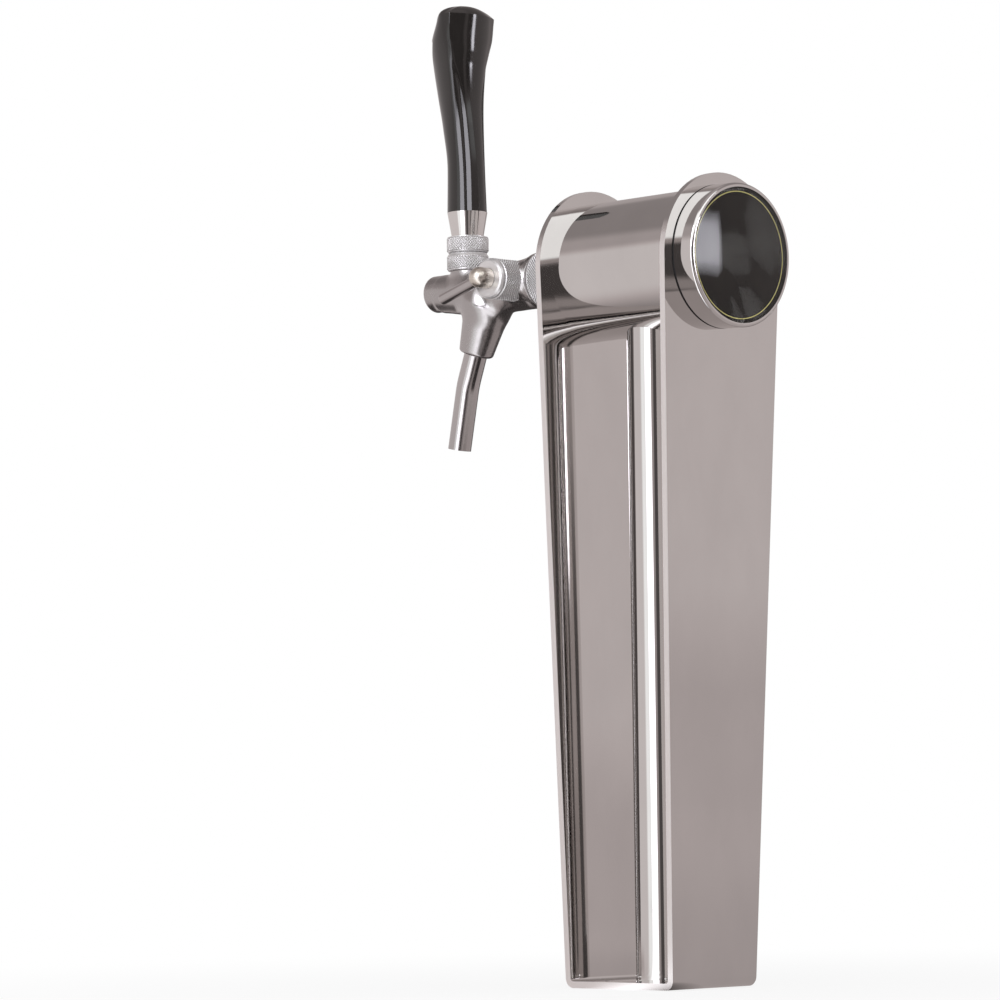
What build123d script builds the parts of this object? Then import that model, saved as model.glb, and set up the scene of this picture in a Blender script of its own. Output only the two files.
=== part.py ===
from build123d import *
import math
import os

# Beer tower: one bent strip of polished steel stands on its foot, a head tube joins its two
# panels at the top, a compensator tap looks forward (-Y) and a round badge looks back (+Y).
# Millimetres, +Z up, origin in the middle of the foot's underside.
# Stations along the tap and the head are distances forward of the tower's middle.

# Strip and tubes of the tower
axis_height = 433.0
panel_radius = 50.0
foot_width = 72.0
front_at_axis = 51.0
front_at_foot = 46.8
back_at_axis = 56.5
back_at_foot = 41.2
strip_thickness = 4.0
bend_radius = 2.0
head_tube_diameter = 84.0
head_tube_wall = 2.0
column_diameter = 33.7
column_wall = 1.5

# Foot
foot_bolt_spacing = 48.0
foot_bolt_tapping = 5.0
line_hole_diameter = 22.4

# Badge on the back panel
ring_wall = 1.8
ring_rounding = 1.8
housing_floor = 3.0
housing_wall = 3.2
badge_seal_thickness = 0.8
badge_seal_recess = 0.5
clamp_depth = 14.7
clamp_lip = 2.2
lens_diameter = 80.8
lens_rim_thickness = 1.2
lens_lip_width = 0.7
lens_dome_height = 2.5
disc_thickness = 1.2
housing_screw_diameter = 4.0
housing_screw_head = 7.5
housing_screw_head_height = 2.2
housing_screw_clearance = 0.6
housing_screw_land = 3.5
housing_screw_count = 3

# Shank through the front panel, its joint to the tap and the line behind it
shank_tail_diameter = 19.8
shank_tail_end = 18.0
shank_bore = 10.0
sleeve_diameter = 36.0
sleeve_length = 27.1
sleeve_groove_width = 1.4
sleeve_groove_depth = 0.7
sleeve_groove_count = 3
nose_diameter = 29.4
nose_length = 5.6
panel_gasket_thickness = 1.6
inner_washer_diameter = 34.0
inner_washer_thickness = 2.5
shank_nut_flats = 30.0
shank_nut_thickness = 8.0
tail_washer_thickness = 1.4
coupling_nut_diameter = 37.0
coupling_nut_chamfer = 2.0
coupling_lip = 4.0
retaining_ring_wall = 3.3
retaining_ring_thickness = 1.5
retaining_ring_land = 1.3
retaining_groove_depth = 0.7
elbow_socket_diameter = 25.0
elbow_socket_depth = 12.0
elbow_leg_diameter = 17.0
elbow_leg_length = 22.0
line_diameter = 9.5
line_wall = 1.4
line_grip = 14.0
inlet_diameter = 22.0
inlet_flange_diameter = 28.0
inlet_flange_thickness = 3.0
inlet_length = 30.0

# Tap body
barrel_diameter = 23.2
barrel_front = 191.6
barrel_bore = 14.0
barrel_rounding = 2.2
tail_diameter = 24.0
flare_diameter = 35.0
flare_rim = 3.0
flare_length = 18.0
chamber_bore = 16.0
seat_bore = 10.8
seat_station = 127.0
seat_thickness = 3.0
branch_station = 139.6
branch_tilt = 21.0
branch_length = 43.9
branch_root_station = 9.0
branch_root_diameter = 31.0
branch_end_diameter = 21.5
branch_rounding = 2.0
branch_blend = 5.0

# Front cap
cap_diameter = 16.8
cap_length = 7.0
cap_proud = 0.4
cap_slot_width = 1.2
cap_slot_depth = 1.0
cap_seal_width = 0.8
cap_seal_thickness = 2.0

# Spout
spout_diameter = 14.5
spout_bore = 11.0
spout_grip = 12.0
spout_upper_length = 20.5
spout_lower_length = 40.8
spout_end_tilt = 11.9
spout_bend_radius = 60.0
spout_seal_width = 1.5
spout_seal_length = 2.0

# Handle joint
handle_station = 161.5
pivot_rise = 14.0
ball_diameter = 14.0
stem_diameter = 7.0
arm_diameter = 5.0
arm_tip_diameter = 6.0
neck_diameter = 21.4
neck_rise = 12.3
neck_thread_diameter = 19.0
lip_rise = 3.0
arm_opening = 12.4
collar_diameter = 26.4
collar_height = 11.1
collar_chamfer = 0.8
collar_crown_radius = 15.0
upper_collar_height = 10.1
upper_collar_chamfer = 1.2
funnel_root_diameter = 11.3
funnel_mouth_diameter = 18.4
ferrule_bottom_diameter = 20.0
ferrule_top_diameter = 25.2
ferrule_height = 15.4
insert_diameter = 12.0
insert_length = 22.0
stem_grip = 14.0
lever_seal_height = 2.0
lever_seal_bore = 10.4

# Handle: share of its height, half width, reach forward, reach back
handle_height = 131.2
handle_sections = (
    (0.0, 12.4, 12.8, 12.4),
    (0.215, 11.8, 12.6, 11.0),
    (0.413, 12.4, 16.8, 9.0),
    (0.582, 14.0, 21.3, 8.0),
    (0.74, 16.6, 24.6, 8.8),
    (0.858, 20.0, 21.8, 10.8),
    (0.93, 20.6, 15.0, 12.4),
)
handle_shoulder_level = 0.97
handle_shoulder = 0.80
handle_crown = 0.45

# Valve
shaft_diameter = 13.2
shaft_front = 178.0
shaft_flat_half_length = 8.0
shaft_flat_rise = 2.0
shaft_guide_end = 150.0
rod_diameter = 5.0
head_diameter = 13.4
head_length = 5.0
valve_seal_thickness = 1.6
valve_seal_diameter = 14.6
tip_clearance = 0.4

# Compensator
compensator_station = 108.0
boss_diameter = 24.0
boss_end = 17.8
spindle_nut_diameter = 25.6
spindle_nut_end = 35.2
spindle_nut_chamfer = 2.0
spindle_nut_bevel = 3.0
spindle_spigot_diameter = 16.0
spindle_spigot_length = 6.0
spindle_diameter = 8.0
spindle_end = 8.3
spindle_collar_diameter = 13.0
spindle_collar_thickness = 2.0
stub_diameter = 12.8
stub_length = 6.5
lever_rod_diameter = 7.0
lever_rod_length = 37.5
lever_rod_drop = 16.0
lever_rod_offset = 4.4
lever_rod_overhang = 3.0
lever_rod_rounding = 1.2
crank_offset = 2.7
crank_pin_diameter = 2.5
crank_pin_end = 4.0
cone_diameter = 15.2
cone_flats = 11.0
cone_front_land = 3.6
cone_guide_length = 14.6
cone_nose_length = 9.0
cone_nose_diameter = 7.0
cone_slot_width = 4.0
cone_slot_floor = 3.2
spindle_seal_width = 1.4
spindle_seal_length = 2.0

# Clearances
running_gap = 0.3
thread_gap = 0.1
push_gap = 0.05
bearing_gap = 0.1

seat_low = (Align.CENTER, Align.CENTER, Align.MIN)
front_lean = (front_at_axis - front_at_foot) / axis_height
back_lean = (back_at_axis - back_at_foot) / axis_height
panel_top = axis_height + panel_radius
tap_plane = Plane(origin=(0, 0, axis_height), x_dir=(1, 0, 0), z_dir=(0, -1, 0))
tap_axis = Axis((0, 0, axis_height), (0, -1, 0))
back_face = Plane(
    origin=(0, back_at_axis, axis_height), x_dir=(-1, 0, 0), z_dir=(0, 1, -back_lean)
)


def front_depth(height):
    """Distance from the column's middle forward to the front panel's outer face."""
    return front_at_foot + front_lean * height


def back_depth(height):
    """Distance from the column's middle back to the back panel's outer face."""
    return back_at_foot + back_lean * height


def rod(plane, diameter, length, mode=Mode.ADD):
    """Round bar that starts on a plane and grows along its normal."""
    with Locations(plane):
        Cylinder(diameter / 2, length, align=seat_low, mode=mode)


def tap_rod(diameter, rear, front, mode=Mode.ADD):
    """Round bar along the tap's axis between two stations."""
    rod(tap_plane.offset(rear), diameter, front - rear, mode)


def keep_band(points, half_width):
    """Keep what lies inside a side-view outline, given as (Y, Z) points."""
    with BuildSketch(Plane.YZ) as band:
        Polygon(*points, align=None)
    extrude(band.sketch, amount=half_width, both=True, mode=Mode.INTERSECT)


def save(piece, name):
    piece.part.label = name
    export_step(piece.part, f"parts/{name}.step")


os.makedirs("parts", exist_ok=True)

# ---------------------------------------------------------------- tower strip
foot_edge = Vector(foot_width / 2, 0)
tangent_angle = math.atan(foot_edge.X / axis_height)
tangent_angle += math.acos(panel_radius / math.hypot(foot_edge.X, axis_height))
tangent_point = Vector(
    panel_radius * math.sin(tangent_angle), axis_height - panel_radius * math.cos(tangent_angle)
)
shank_hole_diameter = shank_tail_diameter + 2 * running_gap
badge_rim_diameter = lens_diameter + 2 * lens_lip_width
housing_bore = badge_rim_diameter - 2 * housing_wall
housing_screw_circle = housing_bore - housing_screw_head - 2 * housing_screw_clearance
housing_screw_hole = housing_screw_diameter + thread_gap
access_diameter = housing_screw_circle - housing_screw_hole - 2 * housing_screw_land

with BuildPart() as tower_frame:
    with BuildSketch(Plane.YZ) as side:
        Polygon(
            (-front_depth(panel_top), panel_top),
            (-front_depth(0), 0),
            (back_depth(0), 0),
            (back_depth(panel_top), panel_top),
            (back_depth(panel_top) - strip_thickness, panel_top),
            (back_depth(strip_thickness) - strip_thickness, strip_thickness),
            (strip_thickness - front_depth(strip_thickness), strip_thickness),
            (strip_thickness - front_depth(panel_top), panel_top),
            align=None,
        )
        fillet(side.vertices().group_by(Axis.Y)[0], bend_radius + strip_thickness)
        fillet(side.vertices().group_by(Axis.Y)[1].filter_by(
            lambda v: abs(v.Y - strip_thickness) < 1e-6), bend_radius)
    extrude(amount=panel_radius, both=True)
    with BuildSketch(Plane.XZ) as outline:
        with BuildLine():
            Line((foot_edge.X, 0), tangent_point)
            ThreePointArc(tangent_point, (0, panel_top), (-tangent_point.X, tangent_point.Y))
            Line((-tangent_point.X, tangent_point.Y), (-foot_edge.X, 0))
            Line((-foot_edge.X, 0), (foot_edge.X, 0))
        make_face()
    extrude(amount=front_at_axis + back_at_axis, both=True, mode=Mode.INTERSECT)
    rod(tap_plane, shank_hole_diameter, 2 * front_at_axis, Mode.SUBTRACT)
    rod(back_face.offset(-back_at_axis), access_diameter, 2 * back_at_axis, Mode.SUBTRACT)
    with Locations(back_face):
        with PolarLocations(housing_screw_circle / 2, housing_screw_count, start_angle=90):
            Hole(housing_screw_hole / 2, depth=2 * strip_thickness)
    rod(Plane.XY, line_hole_diameter, strip_thickness, Mode.SUBTRACT)
    with Locations(Plane.XY.offset(strip_thickness)):
        with GridLocations(foot_bolt_spacing, foot_bolt_spacing, 2, 2):
            Hole(foot_bolt_tapping / 2, depth=strip_thickness)
save(tower_frame, "tower_frame")

# ---------------------------------------------------------------- head tube
column_bore = column_diameter - 2 * column_wall
head_tube_bore = head_tube_diameter - 2 * head_tube_wall
head_low = axis_height - head_tube_diameter / 2
head_high = axis_height + head_tube_diameter / 2
between_panels = (
    (strip_thickness - front_depth(head_low), head_low),
    (back_depth(head_low) - strip_thickness, head_low),
    (back_depth(head_high) - strip_thickness, head_high),
    (strip_thickness - front_depth(head_high), head_high),
)
with BuildPart() as head_tube:
    tap_rod(head_tube_diameter, -back_at_axis - strip_thickness, front_at_axis)
    tap_rod(head_tube_bore, -back_at_axis - strip_thickness, front_at_axis, Mode.SUBTRACT)
    rod(Plane.XY.offset(head_low), column_bore, head_tube_diameter / 2, Mode.SUBTRACT)
    keep_band(between_panels, head_tube_diameter)
save(head_tube, "head_tube")

# ---------------------------------------------------------------- column tube
with BuildPart() as column_tube:
    rod(Plane.XY.offset(strip_thickness), column_diameter, axis_height - strip_thickness)
    rod(Plane.XY.offset(strip_thickness), column_bore, axis_height - strip_thickness, Mode.SUBTRACT)
    tap_rod(head_tube_diameter, -column_diameter, column_diameter, Mode.SUBTRACT)
save(column_tube, "column_tube")

# ---------------------------------------------------------------- badge
clamp_back = badge_seal_thickness
clamp_front = clamp_back + clamp_depth
lens_rim_front = clamp_front - clamp_lip - push_gap
lens_back = lens_rim_front - lens_rim_thickness
disc_back = lens_back - disc_thickness
clamp_bore = badge_rim_diameter + 2 * thread_gap
ring_diameter = clamp_bore + 2 * ring_wall
dome_radius = ((lens_diameter / 2) ** 2 + lens_dome_height**2) / (2 * lens_dome_height)

with BuildPart() as badge_housing:
    rod(back_face, badge_rim_diameter, disc_back)
    rod(back_face.offset(housing_floor), housing_bore, disc_back, Mode.SUBTRACT)
    rod(back_face, access_diameter, housing_floor, Mode.SUBTRACT)
    with Locations(back_face.offset(housing_floor)):
        with PolarLocations(housing_screw_circle / 2, housing_screw_count, start_angle=90):
            Hole(housing_screw_hole / 2, depth=housing_floor)
save(badge_housing, "badge_housing")

with BuildPart() as housing_screws:
    with Locations(back_face.offset(-strip_thickness)):
        with PolarLocations(housing_screw_circle / 2, housing_screw_count, start_angle=90):
            Cylinder(housing_screw_diameter / 2, strip_thickness + housing_floor, align=seat_low)
    with Locations(back_face.offset(housing_floor)):
        with PolarLocations(housing_screw_circle / 2, housing_screw_count, start_angle=90):
            Cylinder(housing_screw_head / 2, housing_screw_head_height, align=seat_low)
save(housing_screws, "housing_screws")

with BuildPart() as badge_seal:
    rod(back_face, ring_diameter - 2 * badge_seal_recess, badge_seal_thickness)
    rod(back_face, clamp_bore, badge_seal_thickness, Mode.SUBTRACT)
save(badge_seal, "badge_seal")

with BuildPart() as badge_clamp_ring:
    rod(back_face.offset(clamp_back), ring_diameter, clamp_depth)
    fillet(badge_clamp_ring.edges().sort_by(Axis.Y)[-1], ring_rounding)
    rod(back_face.offset(clamp_back), clamp_bore, clamp_depth - clamp_lip, Mode.SUBTRACT)
    rod(back_face.offset(clamp_back), lens_diameter + 2 * push_gap, clamp_depth, Mode.SUBTRACT)
save(badge_clamp_ring, "badge_clamp_ring")

with BuildPart() as badge_disc:
    rod(back_face.offset(disc_back), badge_rim_diameter, disc_thickness)
save(badge_disc, "badge_disc")

with BuildPart() as badge_lens:
    rod(back_face.offset(lens_back), lens_diameter, clamp_front - lens_back + lens_dome_height)
    with Locations(back_face.offset(clamp_front + lens_dome_height - dome_radius)):
        Sphere(dome_radius, mode=Mode.INTERSECT)
    rod(back_face.offset(lens_back), badge_rim_diameter, lens_rim_thickness)
save(badge_lens, "badge_lens")

# ---------------------------------------------------------------- shank through the front panel
panel_front = front_at_axis
sleeve_rear = panel_front + panel_gasket_thickness
sleeve_front = sleeve_rear + sleeve_length
nose_front = sleeve_front + nose_length
tail_end = nose_front + tail_washer_thickness
washer_rear = panel_front - strip_thickness - inner_washer_thickness
nut_rear = washer_rear - shank_nut_thickness
in_front_of_panel = (
    (-front_depth(head_low), head_low),
    (-front_depth(head_high), head_high),
    (-barrel_front, head_high),
    (-barrel_front, head_low),
)

with BuildPart() as shank:
    tap_rod(sleeve_diameter, sleeve_rear, sleeve_front)
    tap_rod(nose_diameter, sleeve_front, nose_front)
    tap_rod(shank_tail_diameter, shank_tail_end, sleeve_rear)
    groove_pitch = sleeve_length / (sleeve_groove_count + 1)
    for index in range(sleeve_groove_count):
        groove_rear = sleeve_rear + groove_pitch * (index + 1) - sleeve_groove_width / 2
        with BuildSketch(tap_plane.offset(groove_rear)) as groove:
            Circle(sleeve_diameter / 2)
            Circle(sleeve_diameter / 2 - sleeve_groove_depth, mode=Mode.SUBTRACT)
        extrude(groove.sketch, amount=sleeve_groove_width, mode=Mode.SUBTRACT)
    tap_rod(shank_bore, shank_tail_end, nose_front, Mode.SUBTRACT)
save(shank, "shank")

with BuildPart() as panel_gasket:
    tap_rod(sleeve_diameter, panel_front - strip_thickness, sleeve_rear)
    tap_rod(shank_hole_diameter, panel_front - strip_thickness, sleeve_rear, Mode.SUBTRACT)
    keep_band(in_front_of_panel, sleeve_diameter)
save(panel_gasket, "panel_gasket")

with BuildPart() as inner_washer:
    tap_rod(inner_washer_diameter, washer_rear, panel_front)
    tap_rod(shank_hole_diameter, washer_rear, panel_front, Mode.SUBTRACT)
    keep_band(between_panels, inner_washer_diameter)
save(inner_washer, "inner_washer")

with BuildPart() as shank_nut:
    with BuildSketch(tap_plane.offset(nut_rear)):
        RegularPolygon(shank_nut_flats / 2, 6, major_radius=False)
        Circle(shank_tail_diameter / 2 + push_gap, mode=Mode.SUBTRACT)
    extrude(amount=shank_nut_thickness)
save(shank_nut, "shank_nut")

with BuildPart() as tail_washer:
    tap_rod(tail_diameter, nose_front, tail_end)
    tap_rod(chamber_bore, nose_front, tail_end, Mode.SUBTRACT)
save(tail_washer, "tail_washer")

# ---------------------------------------------------------------- line inside the tower
elbow_rear = shank_tail_end
leg_bottom = axis_height - elbow_leg_length
line_top = leg_bottom + line_grip
line_bottom = inlet_length - line_grip
line_bore = line_diameter - 2 * line_wall
socket_bore = line_diameter + 2 * push_gap

with BuildPart() as line_elbow:
    tap_rod(elbow_socket_diameter, elbow_rear - line_wall, elbow_rear + elbow_socket_depth)
    tap_rod(elbow_leg_diameter, 0, elbow_rear)
    with Locations((0, 0, axis_height)):
        Sphere(elbow_leg_diameter / 2)
    rod(Plane.XY.offset(leg_bottom), elbow_leg_diameter, elbow_leg_length)
    tap_rod(shank_tail_diameter + 2 * push_gap, elbow_rear, elbow_rear + elbow_socket_depth, Mode.SUBTRACT)
    tap_rod(line_bore, 0, elbow_rear, Mode.SUBTRACT)
    rod(Plane.XY.offset(leg_bottom), line_bore, elbow_leg_length, Mode.SUBTRACT)
    rod(Plane.XY.offset(leg_bottom), socket_bore, line_grip, Mode.SUBTRACT)
save(line_elbow, "line_elbow")

with BuildPart() as beer_line:
    rod(Plane.XY.offset(line_bottom), line_diameter, line_top - line_bottom)
    rod(Plane.XY.offset(line_bottom), line_bore, line_top - line_bottom, Mode.SUBTRACT)
save(beer_line, "beer_line")

with BuildPart() as inlet_connector:
    rod(Plane.XY.offset(push_gap), inlet_diameter, inlet_length - push_gap)
    rod(Plane.XY.offset(strip_thickness), inlet_flange_diameter, inlet_flange_thickness)
    rod(Plane.XY, line_bore, inlet_length, Mode.SUBTRACT)
    rod(Plane.XY, socket_bore, line_grip, Mode.SUBTRACT)
    rod(Plane.XY.offset(line_bottom), socket_bore, line_grip, Mode.SUBTRACT)
save(inlet_connector, "inlet_connector")

# ---------------------------------------------------------------- tap body
ring_rear = tail_end + retaining_ring_land
ring_front = ring_rear + retaining_ring_thickness
coupling_front = ring_front + coupling_lip
flare_rear = coupling_front + running_gap
flare_front = flare_rear + flare_rim + flare_length
ring_bore = tail_diameter - 2 * retaining_groove_depth
pivot_height = axis_height + pivot_rise
neck_top = axis_height + neck_rise
thread_top = pivot_height + lip_rise - running_gap
handle_plane = Plane.XY.offset(axis_height).move(Location((0, -handle_station, 0)))
branch_angle = math.radians(branch_tilt)
branch_direction = Vector(0, -math.sin(branch_angle), -math.cos(branch_angle))
branch_root = Vector(0, -branch_station, axis_height)
branch_plane = Plane(origin=branch_root, x_dir=(1, 0, 0), z_dir=branch_direction)
side_plane = Plane(
    origin=(0, -compensator_station, axis_height), x_dir=(0, 1, 0), z_dir=(1, 0, 0)
)
spout_socket = spout_diameter + 2 * push_gap
spout_seal_diameter = spout_diameter + 2 * spout_seal_width
ball_socket = ball_diameter + 2 * running_gap
lever_seal_low = pivot_height - lever_seal_bore / 2 + 0.4
collar_room = spindle_collar_thickness + running_gap
boss_floor = boss_end - spindle_spigot_length - collar_room
spigot_end = boss_end - spindle_spigot_length
spindle_seal_diameter = spindle_diameter + 2 * spindle_seal_width
cap_rear = barrel_front + cap_proud - cap_length
cap_seal_diameter = cap_diameter + 2 * cap_seal_width

with BuildPart() as tap_body:
    tap_rod(barrel_diameter, flare_rear, barrel_front)
    with Locations(branch_plane.offset(branch_root_station)):
        Cone(
            branch_root_diameter / 2,
            branch_end_diameter / 2,
            branch_length - branch_root_station,
            align=seat_low,
        )
        Sphere(branch_root_diameter / 2)
    fillet(tap_body.edges().filter_by(GeomType.BSPLINE), branch_blend)
    fillet(tap_body.faces().sort_by(Axis.Z)[0].outer_wire().edges(), branch_rounding)
    fillet(tap_body.faces().sort_by(Axis.Y)[0].outer_wire().edges(), barrel_rounding)
    rod(handle_plane, neck_diameter, neck_rise)
    tap_rod(tail_diameter, tail_end, flare_front)
    with BuildSketch(Plane.YZ) as flare_side:
        Polygon(
            (-flare_rear, axis_height),
            (-flare_rear, axis_height + flare_diameter / 2),
            (-flare_rear - flare_rim, axis_height + flare_diameter / 2),
            (-flare_front, axis_height + tail_diameter / 2),
            (-flare_front, axis_height),
            align=None,
        )
    revolve(axis=tap_axis)
    rod(side_plane, boss_diameter, boss_end)
    rod(handle_plane, neck_thread_diameter, thread_top - axis_height)
    tap_rod(chamber_bore, tail_end, seat_station, Mode.SUBTRACT)
    tap_rod(seat_bore, seat_station, barrel_front, Mode.SUBTRACT)
    tap_rod(barrel_bore, seat_station + seat_thickness, barrel_front, Mode.SUBTRACT)
    tap_rod(cap_diameter + 2 * thread_gap, cap_rear, barrel_front, Mode.SUBTRACT)
    tap_rod(cap_seal_diameter, barrel_front - cap_seal_thickness, barrel_front, Mode.SUBTRACT)
    with BuildSketch(tap_plane.offset(ring_rear)) as ring_groove:
        Circle(tail_diameter / 2)
        Circle(ring_bore / 2, mode=Mode.SUBTRACT)
    extrude(ring_groove.sketch, amount=retaining_ring_thickness, mode=Mode.SUBTRACT)
    rod(branch_plane, spout_bore, branch_length, Mode.SUBTRACT)
    rod(branch_plane.offset(branch_length - spout_grip), spout_socket, spout_grip, Mode.SUBTRACT)
    rod(
        branch_plane.offset(branch_length - spout_seal_length),
        spout_seal_diameter,
        spout_seal_length,
        Mode.SUBTRACT,
    )
    rod(handle_plane, arm_opening, thread_top - axis_height, Mode.SUBTRACT)
    rod(
        handle_plane.offset(lever_seal_low - axis_height),
        ball_socket,
        thread_top - lever_seal_low,
        Mode.SUBTRACT,
    )
    rod(side_plane, spindle_diameter + 2 * running_gap, boss_end, Mode.SUBTRACT)
    rod(
        side_plane.offset(boss_floor),
        spindle_spigot_diameter + 2 * thread_gap,
        boss_end - boss_floor,
        Mode.SUBTRACT,
    )
save(tap_body, "tap_body")

with BuildPart() as coupling_nut:
    coupling_rear = sleeve_front + running_gap
    tap_rod(coupling_nut_diameter, coupling_rear, coupling_front)
    chamfer(coupling_nut.edges().group_by(Axis.Y)[0], coupling_nut_chamfer)
    tap_rod(tail_diameter + 2 * running_gap, coupling_rear, coupling_front, Mode.SUBTRACT)
    tap_rod(nose_diameter + 2 * thread_gap, coupling_rear, ring_front, Mode.SUBTRACT)
save(coupling_nut, "coupling_nut")

with BuildPart() as retaining_ring:
    tap_rod(ring_bore + 2 * retaining_ring_wall, ring_rear, ring_front)
    tap_rod(ring_bore, ring_rear, ring_front, Mode.SUBTRACT)
save(retaining_ring, "retaining_ring")

# ---------------------------------------------------------------- front cap
with BuildPart() as front_cap:
    tap_rod(cap_diameter, cap_rear, barrel_front + cap_proud)
    with Locations(tap_plane.offset(barrel_front + cap_proud - cap_slot_depth / 2)):
        Box(cap_diameter, cap_slot_width, cap_slot_depth, mode=Mode.SUBTRACT)
save(front_cap, "front_cap")

with BuildPart() as front_cap_seal:
    tap_rod(cap_seal_diameter, barrel_front - cap_seal_thickness, barrel_front)
    tap_rod(cap_diameter, barrel_front - cap_seal_thickness, barrel_front, Mode.SUBTRACT)
save(front_cap_seal, "front_cap_seal")

# ---------------------------------------------------------------- spout
branch_end = branch_root + branch_direction * branch_length
spout_angle = math.radians(spout_end_tilt)
spout_start = branch_end - branch_direction * spout_grip
spout_knee = branch_end + branch_direction * spout_upper_length
spout_tip = spout_knee + Vector(0, -math.sin(spout_angle), -math.cos(spout_angle)) * spout_lower_length

with BuildPart() as spout:
    with BuildLine() as spout_path:
        FilletPolyline(spout_start, spout_knee, spout_tip, radius=spout_bend_radius)
    with BuildSketch(Plane(spout_start, x_dir=(1, 0, 0), z_dir=branch_direction)) as spout_ring:
        Circle(spout_diameter / 2)
        Circle(spout_bore / 2, mode=Mode.SUBTRACT)
    sweep(sections=spout_ring.sketch, path=spout_path.wire())
save(spout, "spout")

with BuildPart() as spout_seal:
    with BuildSketch(branch_plane.offset(branch_length - spout_seal_length)) as seal_ring:
        Circle(spout_seal_diameter / 2)
        Circle(spout_socket / 2, mode=Mode.SUBTRACT)
    extrude(amount=spout_seal_length)
save(spout_seal, "spout_seal")

# ---------------------------------------------------------------- handle joint
collar_low = neck_top + push_gap
collar_top = neck_top + collar_height
upper_low = collar_top + running_gap
upper_top = upper_low + upper_collar_height
ferrule_top = upper_top + ferrule_height
stem_hole = stem_diameter + 2 * push_gap
pivot = Vector(0, -handle_station, pivot_height)

with BuildPart() as lever_seal:
    rod(handle_plane.offset(lever_seal_low - axis_height), ball_socket - 2 * push_gap, lever_seal_height)
    rod(handle_plane.offset(lever_seal_low - axis_height), lever_seal_bore, lever_seal_height, Mode.SUBTRACT)
    with Locations(pivot):
        Sphere(ball_diameter / 2 + running_gap, mode=Mode.SUBTRACT)
save(lever_seal, "lever_seal")

with BuildPart() as bonnet_collar:
    rod(handle_plane.offset(collar_low - axis_height), collar_diameter, collar_top - collar_low)
    chamfer(bonnet_collar.edges().group_by(Axis.Z)[0], collar_chamfer)
    with Locations(pivot):
        Sphere(collar_crown_radius, mode=Mode.INTERSECT)
        Sphere(ball_diameter / 2 + running_gap, mode=Mode.SUBTRACT)
    rod(
        handle_plane.offset(collar_low - axis_height),
        neck_thread_diameter + 2 * thread_gap,
        thread_top + running_gap - collar_low,
        Mode.SUBTRACT,
    )
    with Locations(handle_plane.offset(thread_top + running_gap - axis_height)):
        Cone(
            funnel_root_diameter / 2,
            funnel_mouth_diameter / 2,
            collar_top - thread_top - running_gap,
            align=seat_low,
            mode=Mode.SUBTRACT,
        )
save(bonnet_collar, "bonnet_collar")

with BuildPart() as lever_stem:
    with Locations(pivot):
        Sphere(ball_diameter / 2)
    rod(handle_plane.offset(pivot_rise), stem_diameter, ferrule_top + stem_grip - pivot_height)
    rod(handle_plane, arm_diameter, pivot_rise)
    with Locations(handle_plane):
        Sphere(arm_tip_diameter / 2)
save(lever_stem, "lever_stem")

with BuildPart() as handle_collar:
    rod(handle_plane.offset(upper_low - axis_height), collar_diameter, upper_collar_height)
    chamfer(handle_collar.edges().group_by(Axis.Z)[0], upper_collar_chamfer)
    chamfer(handle_collar.edges().group_by(Axis.Z)[-1], collar_chamfer)
    with Locations(pivot):
        Sphere(collar_crown_radius + running_gap, mode=Mode.SUBTRACT)
    rod(handle_plane.offset(upper_low - axis_height), stem_hole, upper_collar_height, Mode.SUBTRACT)
save(handle_collar, "handle_collar")

with BuildPart() as handle_ferrule:
    with Locations(handle_plane.offset(upper_top - axis_height)):
        Cone(ferrule_bottom_diameter / 2, ferrule_top_diameter / 2, ferrule_height, align=seat_low)
    rod(handle_plane.offset(upper_top - axis_height), stem_hole, ferrule_height, Mode.SUBTRACT)
save(handle_ferrule, "handle_ferrule")

with BuildPart() as handle_insert:
    rod(handle_plane.offset(ferrule_top - axis_height), insert_diameter, insert_length)
    rod(handle_plane.offset(ferrule_top - axis_height), stem_hole, stem_grip, Mode.SUBTRACT)
save(handle_insert, "handle_insert")

with BuildPart() as handle:
    for level, half_width, reach, depth in handle_sections:
        with BuildSketch(Plane(origin=(0, -handle_station, ferrule_top + level * handle_height))):
            with BuildLine():
                EllipticalCenterArc((0, 0), half_width, depth, 0, arc_size=180)
                EllipticalCenterArc((0, 0), half_width, reach, 180, arc_size=180)
            make_face()
    loft()
    top_level, top_half_width, top_reach, top_depth = handle_sections[-1]
    for level, share in ((top_level, 1.0), (handle_shoulder_level, handle_shoulder), (1.0, handle_crown)):
        with BuildSketch(Plane(origin=(0, -handle_station, ferrule_top + level * handle_height))):
            with BuildLine():
                EllipticalCenterArc((0, 0), top_half_width * share, top_depth * share, 0, arc_size=180)
                EllipticalCenterArc((0, 0), top_half_width * share, top_reach * share, 180, arc_size=180)
            make_face()
    loft()
    rod(
        handle_plane.offset(ferrule_top - axis_height),
        insert_diameter + 2 * push_gap,
        insert_length,
        Mode.SUBTRACT,
    )
save(handle, "handle")

# ---------------------------------------------------------------- valve
head_front = seat_station - running_gap - valve_seal_thickness

with BuildPart() as valve_shaft:
    tap_rod(shaft_diameter, shaft_guide_end, shaft_front)
    tap_rod(rod_diameter, head_front, shaft_guide_end)
    tap_rod(head_diameter, head_front - head_length, head_front)
    with Locations((0, -handle_station, axis_height + shaft_flat_rise)):
        Box(
            shaft_diameter,
            2 * shaft_flat_half_length,
            shaft_diameter,
            align=seat_low,
            mode=Mode.SUBTRACT,
        )
    rod(
        handle_plane.offset(-arm_tip_diameter / 2 - 1),
        arm_tip_diameter + 2 * tip_clearance,
        arm_tip_diameter / 2 + 1 + shaft_flat_rise,
        Mode.SUBTRACT,
    )
save(valve_shaft, "valve_shaft")

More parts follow.
